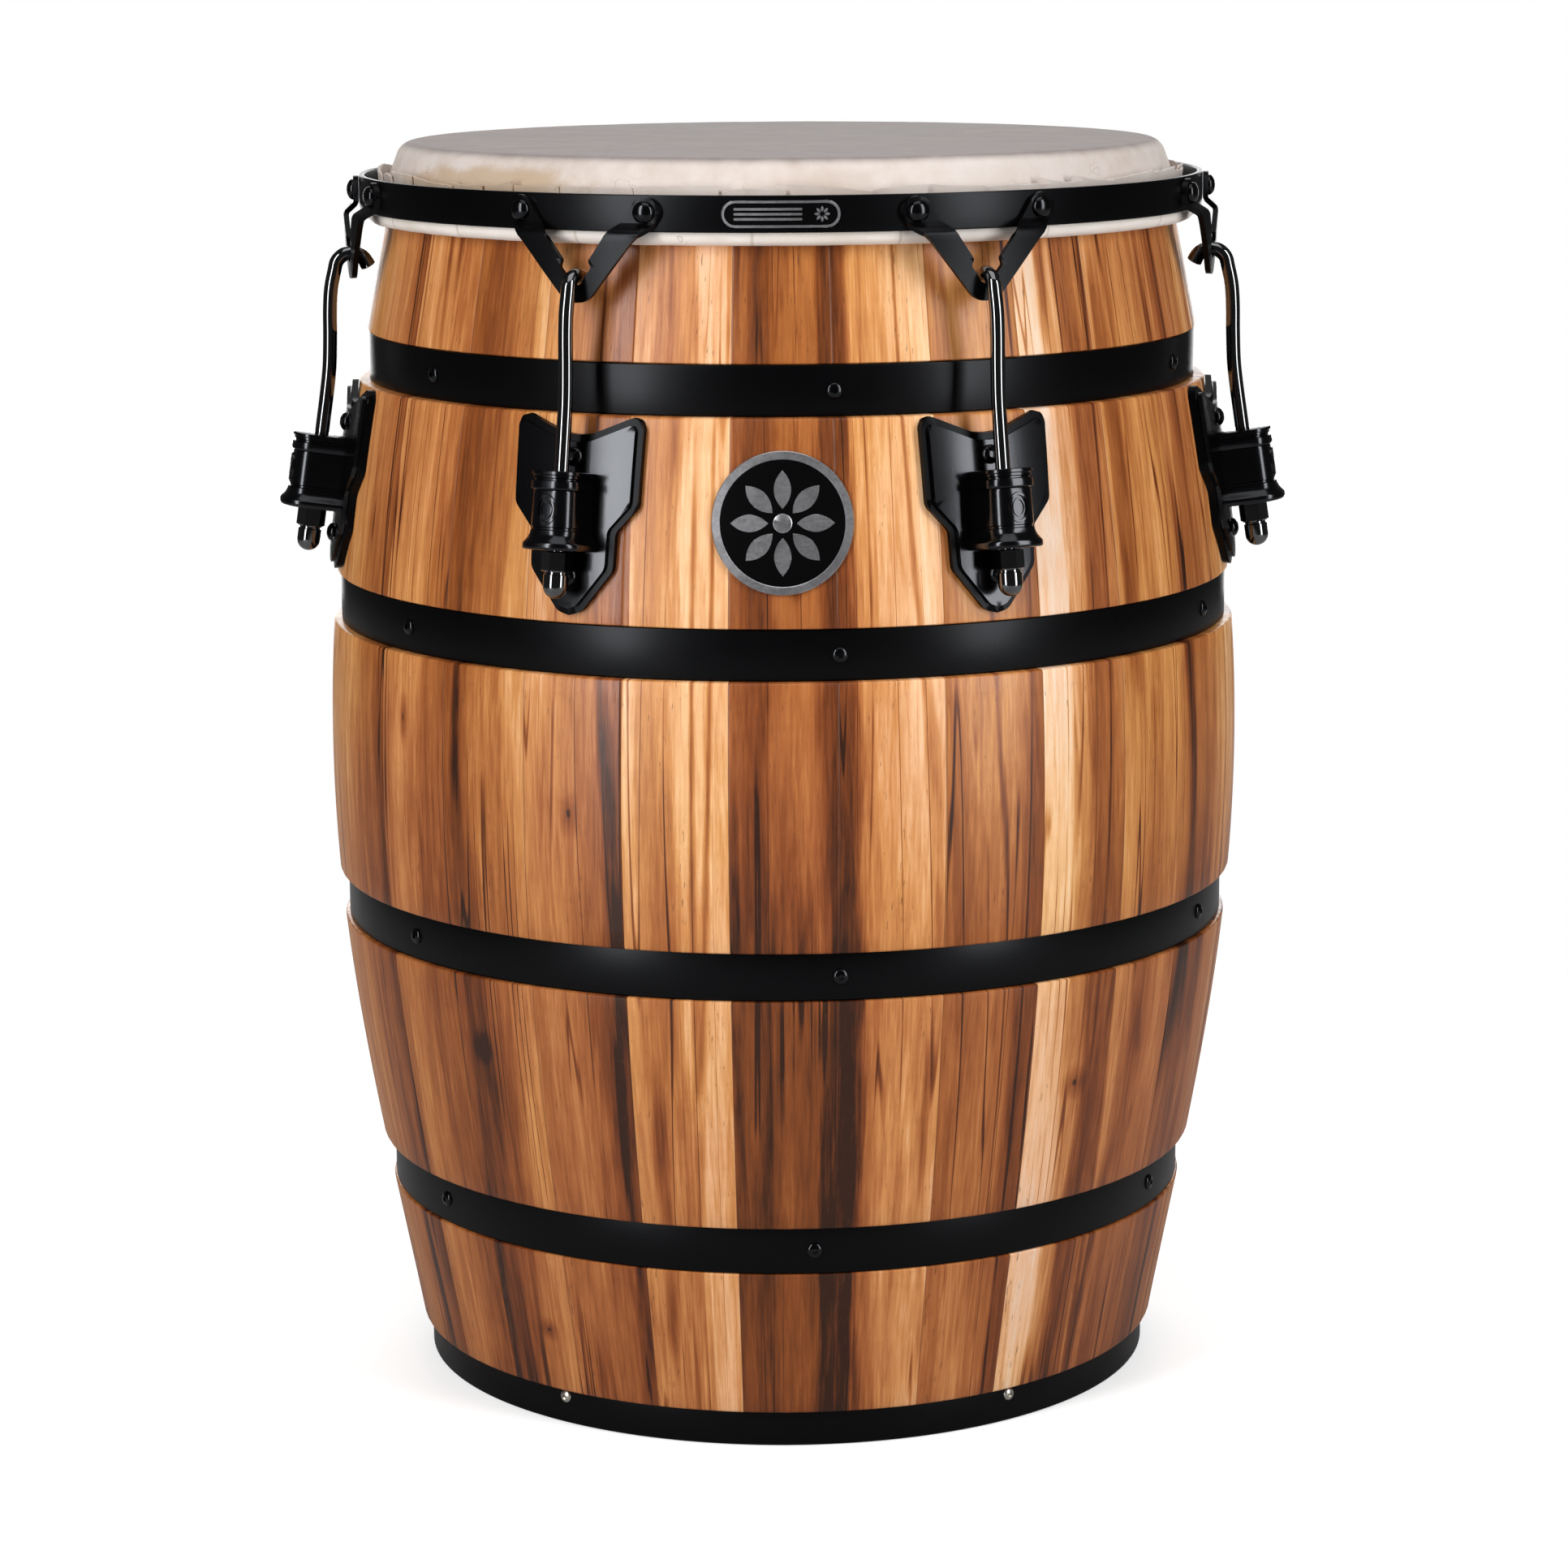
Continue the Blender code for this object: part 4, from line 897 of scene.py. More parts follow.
for k in (0, len(rows) - 1):
    for j in range(last):
        bm.faces.new([outer[k][j], outer[k][j + 1], inner[k][j + 1], inner[k][j]])
for face in bm.faces:
    for loop in face.loops:
        loop[uv_layer].uv = marks[loop.vert]
stave = finished_mesh(bm, "stave", smooth=32, merge=False)

# %% Twenty-eight staves, each with its own tones
# five tones across each stave, 0 for cream sapwood and 1 for the darkest heartwood
# the first stave faces the player
TONES = [
    (0.70, 0.76, 0.64, 0.62, 0.84), (0.86, 0.42, 0.32, 0.24, 0.18), (0.50, 0.46, 0.42, 0.46, 0.62),
    (0.09, 0.07, 0.34, 0.64, 0.56), (0.34, 0.44, 0.52, 0.46, 0.52), (0.48, 0.56, 0.60, 0.56, 0.50),
    (0.36, 0.30, 0.32, 0.40, 0.44), (0.60, 0.66, 0.74, 0.58, 0.48), (0.22, 0.16, 0.30, 0.46, 0.50),
    (0.70, 0.84, 0.88, 0.72, 0.60), (0.44, 0.38, 0.30, 0.24, 0.30), (0.52, 0.60, 0.66, 0.74, 0.82),
    (0.10, 0.08, 0.22, 0.48, 0.58), (0.62, 0.56, 0.50, 0.44, 0.40), (0.78, 0.90, 0.82, 0.70, 0.62),
    (0.34, 0.28, 0.20, 0.14, 0.24), (0.56, 0.62, 0.58, 0.66, 0.76), (0.40, 0.46, 0.52, 0.48, 0.42),
    (0.84, 0.76, 0.66, 0.56, 0.50), (0.30, 0.24, 0.34, 0.42, 0.52), (0.64, 0.74, 0.86, 0.80, 0.70),
    (0.46, 0.40, 0.36, 0.30, 0.22), (0.38, 0.36, 0.34, 0.38, 0.42), (0.42, 0.46, 0.54, 0.60, 0.70),
    (0.44, 0.42, 0.48, 0.58, 0.60), (0.66, 0.70, 0.60, 0.50, 0.34), (0.42, 0.42, 0.46, 0.52, 0.66),
    (0.30, 0.42, 0.36, 0.14, 0.18),
]
shell = repeated(stave, STAVES, 0.0, STAVE_WOOD, seed=11)
copy_numbers = [0] * len(shell.vertices)
shell.attributes["copy_number"].data.foreach_get("value", copy_numbers)
for k in range(5):
    layer = shell.attributes.new(f"tone_{k + 1}", "FLOAT", "POINT")
    layer.data.foreach_set("value", [TONES[n][k] for n in copy_numbers])
show("staves", shell, "shell", ["stave_shell"])


# %% [markdown]
# ## Turned rings
#
# The hoops, the rim and the skin are all a profile turned about the axis. One helper turns any list of (radius,
# height) points. The skin also needs small random dents, so the helper can ask a function for the radius and
# height of each point.

# %% Turn a profile about the axis
def turned(profile, sides, closed=True, shape=None):
    """Points at radius 0 are poles. shape(radius, height, angle, number) may move a point."""
    bm = bmesh.new()
    rings = []
    for number, (radius, height) in enumerate(profile):
        if radius == 0:
            rings.append([bm.verts.new((0, 0, height))] * sides)
            continue
        ring = []
        for side in range(sides):
            angle = math.tau * side / sides
            r, z = shape(radius, height, angle, number) if shape else (radius, height)
            ring.append(bm.verts.new((r * math.sin(angle), -r * math.cos(angle), z)))
        rings.append(ring)
    pairs = list(zip(rings, rings[1:])) + ([(rings[-1], rings[0])] if closed else [])
    for lower, upper in pairs:
        bridge(bm, lower, upper)
    return bm


def rounded_profile(corners, radius, steps=3):
    """The closed outline with each corner turned into an arc of about this radius."""
    result = []
    count = len(corners)
    for k, corner in enumerate(corners):
        here = Vector(corner[:2])
        to_before = Vector(corners[k - 1][:2]) - here
        to_after = Vector(corners[(k + 1) % count][:2]) - here
        own = corner[2] if len(corner) > 2 else radius
        cut = min(own, to_before.length * 0.45, to_after.length * 0.45)
        if cut < 1e-6:
            result.append(tuple(here))
            continue
        start, end = here + to_before.normalized() * cut, here + to_after.normalized() * cut
        for step in range(steps + 1):
            t = step / steps
            result.append(tuple(start * (1 - t) ** 2 + here * 2 * t * (1 - t) + end * t**2))
    return result


# %% Hoops
for node in HOOP_NODES:
    inner_radius, outer_radius, bottom, top = HOOPS[node]
    corners = [(inner_radius, bottom), (outer_radius, bottom), (outer_radius, top), (inner_radius, top)]
    ring = turned(rounded_profile(corners, 0.8 * MM), 168)
    band = finished_mesh(ring, node, 50)
    show(node + "_band", band, "shell", [node], SATIN_BLACK)


# %% [markdown]
# ## The head
#
# The skin is one sheet: flat across the top, over the bearing edge, down the collar, once round the flesh hoop
# and up again inside the rim, where it was cut off by hand. It is thin, so the path below is its middle and the
# mesh is that path moved half a thickness each way. The cut edge is made of separate overlapping tongues, as the
# real one is, because the circle of hide had to be slit to go round the hoop.

# %% Path of the skin
SKIN_THICKNESS = 1.6 * MM
COLLAR_RADIUS = 223.6 * MM
COLLAR_SLOPE = math.radians(21.0)
CROWN_ROUNDING = 10.0 * MM
ROLL_RADIUS = 6.0 * MM
ROLL_CENTRE, ROLL_HEIGHT, ROLL_TOP = 231.4 * MM, 672.3 * MM, 684 * MM


def arc_points(x, y, radius, degrees):
    return [(x + radius * math.cos(math.radians(a)), y + radius * math.sin(math.radians(a))) for a in degrees]


def crown_arc(inset, steps):
    slope, radius, top = COLLAR_SLOPE, CROWN_ROUNDING - inset, HEAD_TOP - inset
    line = COLLAR_RADIUS - inset / math.cos(slope) + COLLAR_HEIGHT * math.tan(slope)
    centre_height = top - radius
    centre = line - centre_height * math.tan(slope) - radius / math.cos(slope)
    angles = [slope + (math.pi / 2 - slope) * step / steps for step in range(steps + 1)]
    return [(centre + radius * math.cos(a), centre_height + radius * math.sin(a)) for a in angles]


half = SKIN_THICKNESS / 2
crown = crown_arc(half, 10)[::-1]
middle = [(r * MM, HEAD_TOP - half) for r in (40, 80, 120, 160, 185, 200)] + crown
collar = COLLAR_RADIUS - half / math.cos(COLLAR_SLOPE)
LOWER_COLLAR, LOWER_SLOPE = 686 * MM, 0.30
middle += [(collar + (COLLAR_HEIGHT - z) * LOWER_SLOPE, z) for z in (COLLAR_HEIGHT, LOWER_COLLAR)]
wrap = ROLL_RADIUS - half
middle += arc_points(ROLL_CENTRE, ROLL_HEIGHT, wrap, range(165, 446, 14))
middle += [(ROLL_CENTRE - 2.6 * MM, ROLL_HEIGHT + wrap + 2.0 * MM), (ROLL_CENTRE - 3.4 * MM, ROLL_TOP)]
print(len(middle), "points along the skin")


# %% Thicken the path
def both_sides(path, thickness):
    """(points on the left, points on the right) of a path, half the thickness away."""
    points = [Vector(p) for p in path]
    left, right = [], []
    for k, point in enumerate(points):
        before = (point - points[k - 1]).normalized() if k else (points[1] - point).normalized()
        after = (points[k + 1] - point).normalized() if k + 1 < len(points) else before
        square = (before + after).normalized().orthogonal()
        left.append(tuple(point + square * thickness / 2))
        right.append(tuple(point - square * thickness / 2))
    return left, right


left, right = both_sides(middle, SKIN_THICKNESS)
profile = [(0, HEAD_TOP), *left, *right[::-1], (0, HEAD_TOP - SKIN_THICKNESS)]


def hide_dents(radius, height, angle, number):
    """Small unevenness of the hide, mostly on the collar and the roll, and never above the flat top."""
    place = Vector((math.sin(angle), math.cos(angle), height * 14)) * 7
    dent = noise.noise(place) * 0.32 * MM
    if height < ROLL_TOP:
        dent += noise.noise(place * 4.7) * 0.34 * MM
        return radius + dent, height + noise.noise(place * 2.3 + Vector((9, 0, 0))) * 0.25 * MM
    if height > HEAD_TOP - 6 * MM:
        return radius, height - abs(dent) * min(1, radius / 0.2) * 0.5
    return radius + dent * 0.8, height


skin = finished_mesh(turned(profile, 224, closed=False, shape=hide_dents), "skin", 60)
show("drum_skin_hide", skin, "head", ["drum_skin"], SKIN)

# %% Tongues of the cut edge, between the collar and the rim
dice = random.Random(23)
TONGUE_FOOT, OVERLAP, SMALLEST_TURN = 681 * MM, 0.012, 0.03
bm = bmesh.new()
turn = 0.0
while turn < math.tau - SMALLEST_TURN:
    end = min(turn + dice.uniform(0.085, 0.21), math.tau)
    heights = [dice.uniform(693.2, 698.2) * MM for _ in range(3)]
    start_radius = dice.uniform(226.2, 227.2) * MM
    lean = dice.uniform(1.4, 2.6) * MM
    steps = max(3, round((end - turn) / 0.018))
    tongue = []
    for k in range(steps + 1):
        share = k / steps
        angle = turn - OVERLAP + (end - turn + 2 * OVERLAP) * share
        radius = start_radius + lean * share
        bend = heights[0] * (1 - share) ** 2 + 2 * heights[1] * share * (1 - share) + heights[2] * share**2
        bend += dice.uniform(-0.35, 0.35) * MM
        corners = [
            (0.0, TONGUE_FOOT), (1.3, TONGUE_FOOT), (1.5, bend - 3 * MM), (1.9, bend), (0.8, bend + 0.3 * MM),
            (0.2, bend - 3 * MM),
        ]
        ring = []
        for off, height in corners:
            reach = radius + off * MM
            ring.append(bm.verts.new((reach * math.sin(angle), -reach * math.cos(angle), height)))
        tongue.append(ring)
    for first, second in zip(tongue, tongue[1:]):
        bridge(bm, first, second)
    bm.faces.new(tongue[0])
    bm.faces.new(tongue[-1])
    turn = end
show("skin_tongues", finished_mesh(bm, "tongues", 60, merge=False), "head", [], SKIN)

# %% [markdown]
# ## Rim
#
# The rim is a steel band with a lip welded inside, and the lip bears on the rolled skin. Its corners are broken
# by a small radius, which is what catches the light along the top edge.

# %% Rim band
lip_bottom = ROLL_HEIGHT + ROLL_RADIUS + CLEARANCE
lip_top = lip_bottom + LIP_THICKNESS
corners = [
    (RIM_BAND_INNER, RIM_BOTTOM), (RIM_OUTER, RIM_BOTTOM), (RIM_OUTER, RIM_TOP), (RIM_BAND_INNER, RIM_TOP),
    (RIM_BAND_INNER, lip_top), (RIM_INNER, lip_top), (RIM_INNER, lip_bottom), (RIM_BAND_INNER, lip_bottom),
]
rim = finished_mesh(turned(rounded_profile(corners, 0.7 * MM), 180), "rim", 50)
show("tuning_rim_band", rim, "rim", ["tuning_rim"], SATIN_BLACK)


# %% [markdown]
# ## Sheet parts
#
# The brackets, side plates and gaskets are all cut from sheet and bent. Each starts as a flat outline, is cut
# into strips so that it can bend, and is then given two sides by two functions that say where a flat point lands.
# The sharp edges are bevelled last, since even laser-cut steel has its edges broken before it is painted.

# %% Flat outline, strips, two sides and a bevel
def mirrored(half_outline):
    """The whole outline from the half at positive X, whose first and last points are on X = 0."""
    return half_outline + [(-p[0], *p[1:]) for p in reversed(half_outline[1:-1])]


def cut_sheet(outline, columns, levels):
    """A flat sheet in X and Z, cut at these sideways places and heights."""
    bm = bmesh.new()
    bm.faces.new([bm.verts.new((x, 0, z)) for x, z in outline])
    cuts = [((x, 0, 0), (1, 0, 0)) for x in columns] + [((0, 0, z), (0, 0, 1)) for z in levels]
    for point, square in cuts:
        everything = bm.verts[:] + bm.edges[:] + bm.faces[:]
        bmesh.ops.bisect_plane(bm, geom=everything, dist=1e-7, plane_co=point, plane_no=square)
    return bm


def give_sides(bm, inner_side, outer_side, bevel=0.0, segments=2):
    """Lay the flat sheet on both sides, close its border and bevel the two rims."""
    flat = {v: (v.co.x, v.co.z) for v in bm.verts}
    border = [(e.verts[0], e.verts[1]) for e in bm.edges if e.is_boundary]
    faces = [list(f.verts) for f in bm.faces]
    far = {v: bm.verts.new(outer_side(*at)) for v, at in flat.items()}
    for v, at in flat.items():
        v.co = inner_side(*at)
    for face in faces:
        bm.faces.new([far[v] for v in reversed(face)])
    for a, b in border:
        bm.faces.new([a, b, far[b], far[a]])
    if bevel:
        rims = [bm.edges.get((far[a], far[b])) for a, b in border]
        rims += [bm.edges.get((a, b)) for a, b in border]
        how = {"segments": segments, "profile": 0.5, "affect": "EDGES", "clamp_overlap": True}
        bmesh.ops.bevel(bm, geom=rims, offset=bevel, **how)
    return bm


def spread(low, high, step):
    count = max(1, round((high - low) / step))
    return [low + (high - low) * k / count for k in range(1, count)]


# %% Rim bracket
HOOK_RADIUS = 9.7 * MM
HOOK_CENTRE = (248.3 * MM, 641.3 * MM)
ROD_RADIUS = 4.0 * MM
BRACKET_THICKNESS = 3.0 * MM
TAB_RADIUS = RIM_OUTER + CLEARANCE + BRACKET_THICKNESS / 2
LEG = TAB_RADIUS + 6.2 * MM
# middle of the bent sheet, (radius, height), from the tip up to the tab
FOLD = [
    (LEG - 1.5 * MM, 635 * MM), (LEG - 0.2 * MM, 666 * MM), (LEG, 671.3 * MM), (LEG - 0.6 * MM, 672.9 * MM),
    (TAB_RADIUS + 0.9 * MM, 676.6 * MM), (TAB_RADIUS, 678.2 * MM), (TAB_RADIUS, 700 * MM),
]


def fold_radius(z):
    for (r0, z0), (r1, z1) in zip(FOLD, FOLD[1:]):
        if z <= z1:
            return r0 + (r1 - r0) * max(0.0, (z - z0) / (z1 - z0))
    return FOLD[-1][0]


def fold_side(direction):
    def surface(x, z):
        step = 0.5 * MM
        slope = (fold_radius(z + step) - fold_radius(z - step)) / (2 * step)
        square = Vector((1, -slope)).normalized() * direction * BRACKET_THICKNESS / 2
        radius = fold_radius(z) + square.x
        return Vector((x, -math.sqrt(radius**2 - x**2), z + square.y))

    return surface


seat = (HOOK_CENTRE[1] + HOOK_RADIUS - ROD_RADIUS) / MM - 1.3
tab = [(x, z, 0.0) for x, z in arc_points(37.0, 684.0, 8.0, range(154, -19, -12))]
# (sideways, height, corner radius) in mm
half_outline = [
    (0.0, seat, 0.0), (3.0, seat + 0.5, 1.5), (5.6, 650.5, 2), (9.3, 655.2, 1.2), (7.8, 658.8, 1.2),
    (17.6, 672.3, 2), (23.5, 677.5, 2), *tab, (42.6, 677.5, 2), (32.6, 669.0, 3), (8.3, 639.3, 3),
    (4.4, 637.0, 1), (0.0, 636.6, 0.0),
]
bracket_outline = [(x * MM, z * MM, r * MM) for x, z, r in mirrored(half_outline)]
columns = [side * x * MM for side in (-1, 1) for x in (6, 12, 18, 24, 30, 36, 42)]
levels = [z * MM for z in (640, 645, 650, 655, 660, 665, 669, 671.3, 672.1, 672.9, 674.1, 675.4)]
levels += [z * MM for z in (676.6, 677.4, 678.2, 684)]
sheet = cut_sheet(rounded_profile(bracket_outline, 1 * MM), columns, levels)
bracket = finished_mesh(give_sides(sheet, fold_side(-1), fold_side(1), bevel=0.45 * MM), "bracket", 32)
brackets = at_stations(bracket, SATIN_BLACK)
show("rim_brackets", brackets, "rim", station_names("rim_bracket"))


# %% [markdown]
# ## Hook rods
#
# A rod is an 8 mm bar, bent into a hook that catches in the bracket's throat, with a slight shoulder that brings
# it out over the hoop. Its middle line is a smooth curve through a few points. Sweeping a circle along it in code
# lets the rod keep a true round section through the bends, and lets its tip widen into a claw.

# %% Smooth path of the rod
def rod_line(down, out=0.0):
    """(radius, height) this far down the rod line and this far outward from it."""
    return (
        ROD_LINE_RADIUS + down * math.sin(ROD_TILT) + out * math.cos(ROD_TILT),
        ROD_LINE_HEIGHT - down * math.cos(ROD_TILT) + out * math.sin(ROD_TILT),
    )


def smooth_path(points, steps):
    """A Catmull-Rom curve through the points."""
    points = [Vector(p) for p in points]
    padded = [points[0] * 2 - points[1], *points, points[-1] * 2 - points[-2]]
    path = []
    for a, b, c, d in zip(padded, padded[1:], padded[2:], padded[3:]):
        for step in range(steps):
            t = step / steps
            bend, twist = 2 * a - 5 * b + 4 * c - d, 3 * b - a - 3 * c + d
            path.append(0.5 * (2 * b + (c - a) * t + bend * t**2 + twist * t**3))
    return path + [points[-1]]


CASING_LENGTH = 41.7 * MM
NUT_LENGTH = 25.0 * MM
hook = arc_points(*HOOK_CENTRE, HOOK_RADIUS, (165, 132, 99, 66, 33, 0))
shoulder = [(r * MM, z * MM) for r, z in ((260.2, 631), (261.1, 619), (261.4, 604), (262.2, 587))]
shank = [rod_line((ROD_LINE_HEIGHT - z * MM) / math.cos(ROD_TILT)) for z in (571, 560)]
rod_end = rod_line(CASING_LENGTH + NUT_LENGTH - 3.7 * MM)
path = smooth_path([*hook, *shoulder, *shank], 6) + [Vector(rod_end)]


def swept(path, section_at, sides):
    """A bar along (radius, height) points. Its section is (half width, half thickness)."""
    bm = bmesh.new()
    rings = []
    for k, point in enumerate(path):
        before = (point - path[k - 1]).normalized() if k else (path[1] - point).normalized()
        after = (path[k + 1] - point).normalized() if k + 1 < len(path) else before
        square = (before + after).normalized().orthogonal()
        half_width, half_thickness = section_at(k)
        ring = []
        for side in range(sides):
            angle = math.tau * side / sides
            at = point + square * half_thickness * math.sin(angle)
            ring.append(bm.verts.new((half_width * math.cos(angle), -at.x, at.y)))
        rings.append(ring)
    for upper, lower in zip(rings, rings[1:]):
        bridge(bm, upper, lower)
    bm.faces.new(rings[0])
    bm.faces.new(rings[-1])
    return bm


CLAW_STEPS = 12
CLAW_WIDTH, CLAW_THICKNESS = 2.2 * MM, 0.5 * MM


def rod_section(k):
    """Round, except that the hook's last part is hammered out into a wider claw with broken edges."""
    spread_out = max(0.0, 1 - k / CLAW_STEPS)
    blunt = 0.6 * MM if k == 0 else 0.0
    radius = ROD_RADIUS - blunt
    return radius + CLAW_WIDTH * spread_out, radius + CLAW_THICKNESS * spread_out


ends = [path[0] + (path[0] - path[1]).normalized() * 0.5 * MM, *path]
rod = finished_mesh(swept(ends, rod_section, 24), "rod", 40)
show_moving("hook_rod_bar", rod, "rod", "hook_rod", GLOSS_BLACK)

# %% [markdown]
# ## Side plates and gaskets
#
# The plate lies on the staves and follows their curve, with a rubber gasket between that shows as a thick black
# edge all round. Both come from one outline, and the plate's is moved in by the gasket's margin.

# %% Outlines
PLATE_MARGIN = 3.6 * MM
GASKET_THICKNESS = 3.6 * MM
PLATE_THICKNESS = 2.2 * MM
# (sideways, height, corner radius) in mm
HALF_GASKET = [
    (0.0, 567.0, 0), (8.0, 567.6, 1.6), (31.0, 576.8, 1.6), (35.5, 575.4, 1.4), (37.4, 571.0, 1.4),
    (36.8, 530.0, 2.4), (25.0, 516.5, 2.2), (24.5, 496.5, 2.8), (7.0, 474.3, 2.4), (0.0, 472.3, 0),
]
gasket_outline = mirrored([(x * MM, z * MM, r * MM) for x, z, r in HALF_GASKET])


def inset_outline(outline, margin):
    """The outline moved in by a margin. Its points keep their corner radii."""
    bm = bmesh.new()
    face = bm.faces.new([bm.verts.new((p[0], p[1], 0)) for p in outline])
    face.normal_update()
    bmesh.ops.inset_region(bm, faces=[face], thickness=margin, use_even_offset=True, use_boundary=True)
    moved = [(v.co.x, v.co.y, p[2]) for v, p in zip(face.verts, outline)]
    bm.free()
    return moved


def on_staves(off):
    """Where a flat point lands when its sheet lies this far off the staves."""
    return lambda x, z: Vector((x, -math.sqrt((barrel_radius(z) + off) ** 2 - x**2), z))


def on_the_lug(outline, off, thickness, bevel, segments, name):
    """A sheet of this outline and thickness, laid this far off the staves."""
    columns, levels = spread(-38 * MM, 38 * MM, 5 * MM), spread(472 * MM, 578 * MM, 9 * MM)
    sheet = cut_sheet(rounded_profile(outline, 3 * MM, 4), columns, levels)
    sheet = give_sides(sheet, on_staves(off), on_staves(off + thickness), bevel, segments)
    return finished_mesh(sheet, name, 45)


GASKET_BACK = 2 * CLEARANCE
PLATE_BACK = GASKET_BACK + GASKET_THICKNESS + CLEARANCE
gasket = on_the_lug(gasket_outline, GASKET_BACK, GASKET_THICKNESS, 1.0 * MM, 3, "gasket")
show("lug_gaskets", at_stations(gasket, RUBBER), "shell", station_names("lug_gasket"))
plate_outline = inset_outline(gasket_outline, PLATE_MARGIN)
plate_mesh = on_the_lug(plate_outline, PLATE_BACK, PLATE_THICKNESS, 0.7 * MM, 2, "plate")

# %% [markdown]
# ## Casings
#
# The casing is a half-round box cast on the plate. Its section stays the same and only stands out more or less
# on the way down: two bands at the top, a plain body, and a flared skirt that covers the nut's shoulder. A list
# of (distance down, stand-out) pairs says all of that. The rod runs through a bore, so the ends are rings, not
# discs.

# %% Casing body
CASING_HALF_WIDTH, CASING_FRONT, CASING_CORNER = 12.5 * MM, 14.5 * MM, 10.0 * MM
# in mm
CASING_ROWS = [
    (0.0, 0.2), (0.4, 1.0), (1.9, 1.2), (2.4, 0.3), (3.6, 0.3), (4.1, -0.5), (4.9, -0.5), (5.4, 0.85),
    (9.0, 1.2), (9.7, 0.9), (10.4, -0.5), (11.4, -0.2), (29.4, 0.1), (29.9, -0.5), (30.8, -0.5), (31.3, 0.4),
    (33.2, 0.8), (35.2, 1.8), (36.8, 3.1), (37.9, 4.0), (38.4, 4.2), (40.5, 4.2), (41.3, 3.8), (41.7, 2.9),
]
BORE = ROD_RADIUS + 0.35 * MM


def casing_section(stand_out, back):
    """Half-round points, from the back on the right round the front to the back on the left."""
    corner = CASING_CORNER + stand_out
    centre = CASING_HALF_WIDTH - CASING_CORNER, CASING_FRONT - CASING_CORNER
    right = [(CASING_HALF_WIDTH + stand_out, back)] + arc_points(*centre, corner, range(0, 100, 10))
    return right + [(-x, y) for x, y in reversed(right)]


rod_frame = Matrix.Translation((0, -ROD_LINE_RADIUS, ROD_LINE_HEIGHT)) @ Matrix.Rotation(-ROD_TILT, 4, "X")
bm = bmesh.new()
rings = []
for down, stand_out in CASING_ROWS:
    radius, height = rod_line(down * MM)
    plate_middle = barrel_radius(height) + PLATE_BACK + PLATE_THICKNESS / 2
    section = casing_section(stand_out * MM, (plate_middle - radius) * math.cos(ROD_TILT))
    rings.append([bm.verts.new((x, -out, -down * MM)) for x, out in section])
bores = []
for down in (0.0, CASING_ROWS[-1][0]):
    ring = []
    for vertex in rings[0]:
        direction = Vector((vertex.co.x, vertex.co.y)).normalized()
        ring.append(bm.verts.new((direction.x * BORE, direction.y * BORE, -down * MM)))
    bores.append(ring)
loops = [bores[0], *rings, bores[1], bores[0]]
for upper, lower in zip(loops, loops[1:]):
    bridge(bm, upper, lower)
bmesh.ops.transform(bm, matrix=rod_frame, verts=bm.verts)
casing_mesh = finished_mesh(bm, "casing", 28)


# %% A plain oval boss on the casing's front
def joined(*meshes):
    """Several meshes as one."""
    bm = bmesh.new()
    for mesh in meshes:
        bm.from_mesh(mesh)
    whole = bpy.data.meshes.new("joined")
    bm.to_mesh(whole)
    bm.free()
    whole.shade_smooth()
    return whole


BOSS_DOWN = 20.5 * MM


def boss_ring(half_width, half_height, low, high, sides=40):
    """A raised oval band on the casing's flat front."""
    bm = bmesh.new()
    rings = []
    for share, off in ((1.0, low), (0.96, high), (0.80, high), (0.76, low)):
        ring = []
        for side in range(sides):
            angle = math.tau * side / sides
            x, z = share * half_width * math.cos(angle), share * half_height * math.sin(angle)
            bulge = max(0.0, abs(x) - (CASING_HALF_WIDTH - CASING_CORNER))
            front = CASING_FRONT - CASING_CORNER + math.sqrt(CASING_CORNER**2 - bulge**2)
            ring.append(bm.verts.new((x, -(front + off), z - BOSS_DOWN)))
        rings.append(ring)
    for first, second in zip(rings, rings[1:] + rings[:1]):
        bridge(bm, first, second)
    bmesh.ops.transform(bm, matrix=rod_frame, verts=bm.verts)
    return finished_mesh(bm, "boss", 40)


outer_band = boss_ring(6.0 * MM, 8.2 * MM, -0.3 * MM, 0.75 * MM)
inner_band = boss_ring(3.6 * MM, 5.2 * MM, -0.3 * MM, 0.65 * MM)
lug = joined(plate_mesh, casing_mesh, outer_band, inner_band)
lug.set_sharp_from_angle(angle=math.radians(32))
casings = at_stations(lug, BLACK_CASTING)
show("lug_casings", casings, "shell", station_names("lug_casing"))


# %% [markdown]
# ## Nuts and bolts
#
# The tuning nut is long: a hexagon for the key, a neck, and a closed dome that keeps the thread's end from
# scratching the player. A hexagon can be turned like a round part if each point's radius is stretched towards
# the corners. The bolts that hold the plate have low domed heads with a hexagon socket.

# %% Turned parts with hexagonal steps
def turned_part(profile, sides=48):
    """Points are (radius, height, is it hexagonal). At a hexagonal point the radius is to the flats."""

    def stretch(radius, height, angle, number):
        if not profile[number][2]:
            return radius, height
        corner = angle % (math.pi / 3) - math.pi / 6
        return radius / math.cos(corner), height

    return turned([p[:2] for p in profile], sides, closed=False, shape=stretch)


def dome(radius, top, bottom, steps):
    """(radius, height, hexagonal) points of a domed end, from the pole outwards."""
    points = []
    for step in range(steps + 1):
        angle = math.pi / 2 * step / steps
        points.append((radius * math.sin(angle), bottom + (top - bottom) * math.cos(angle), False))
    return points


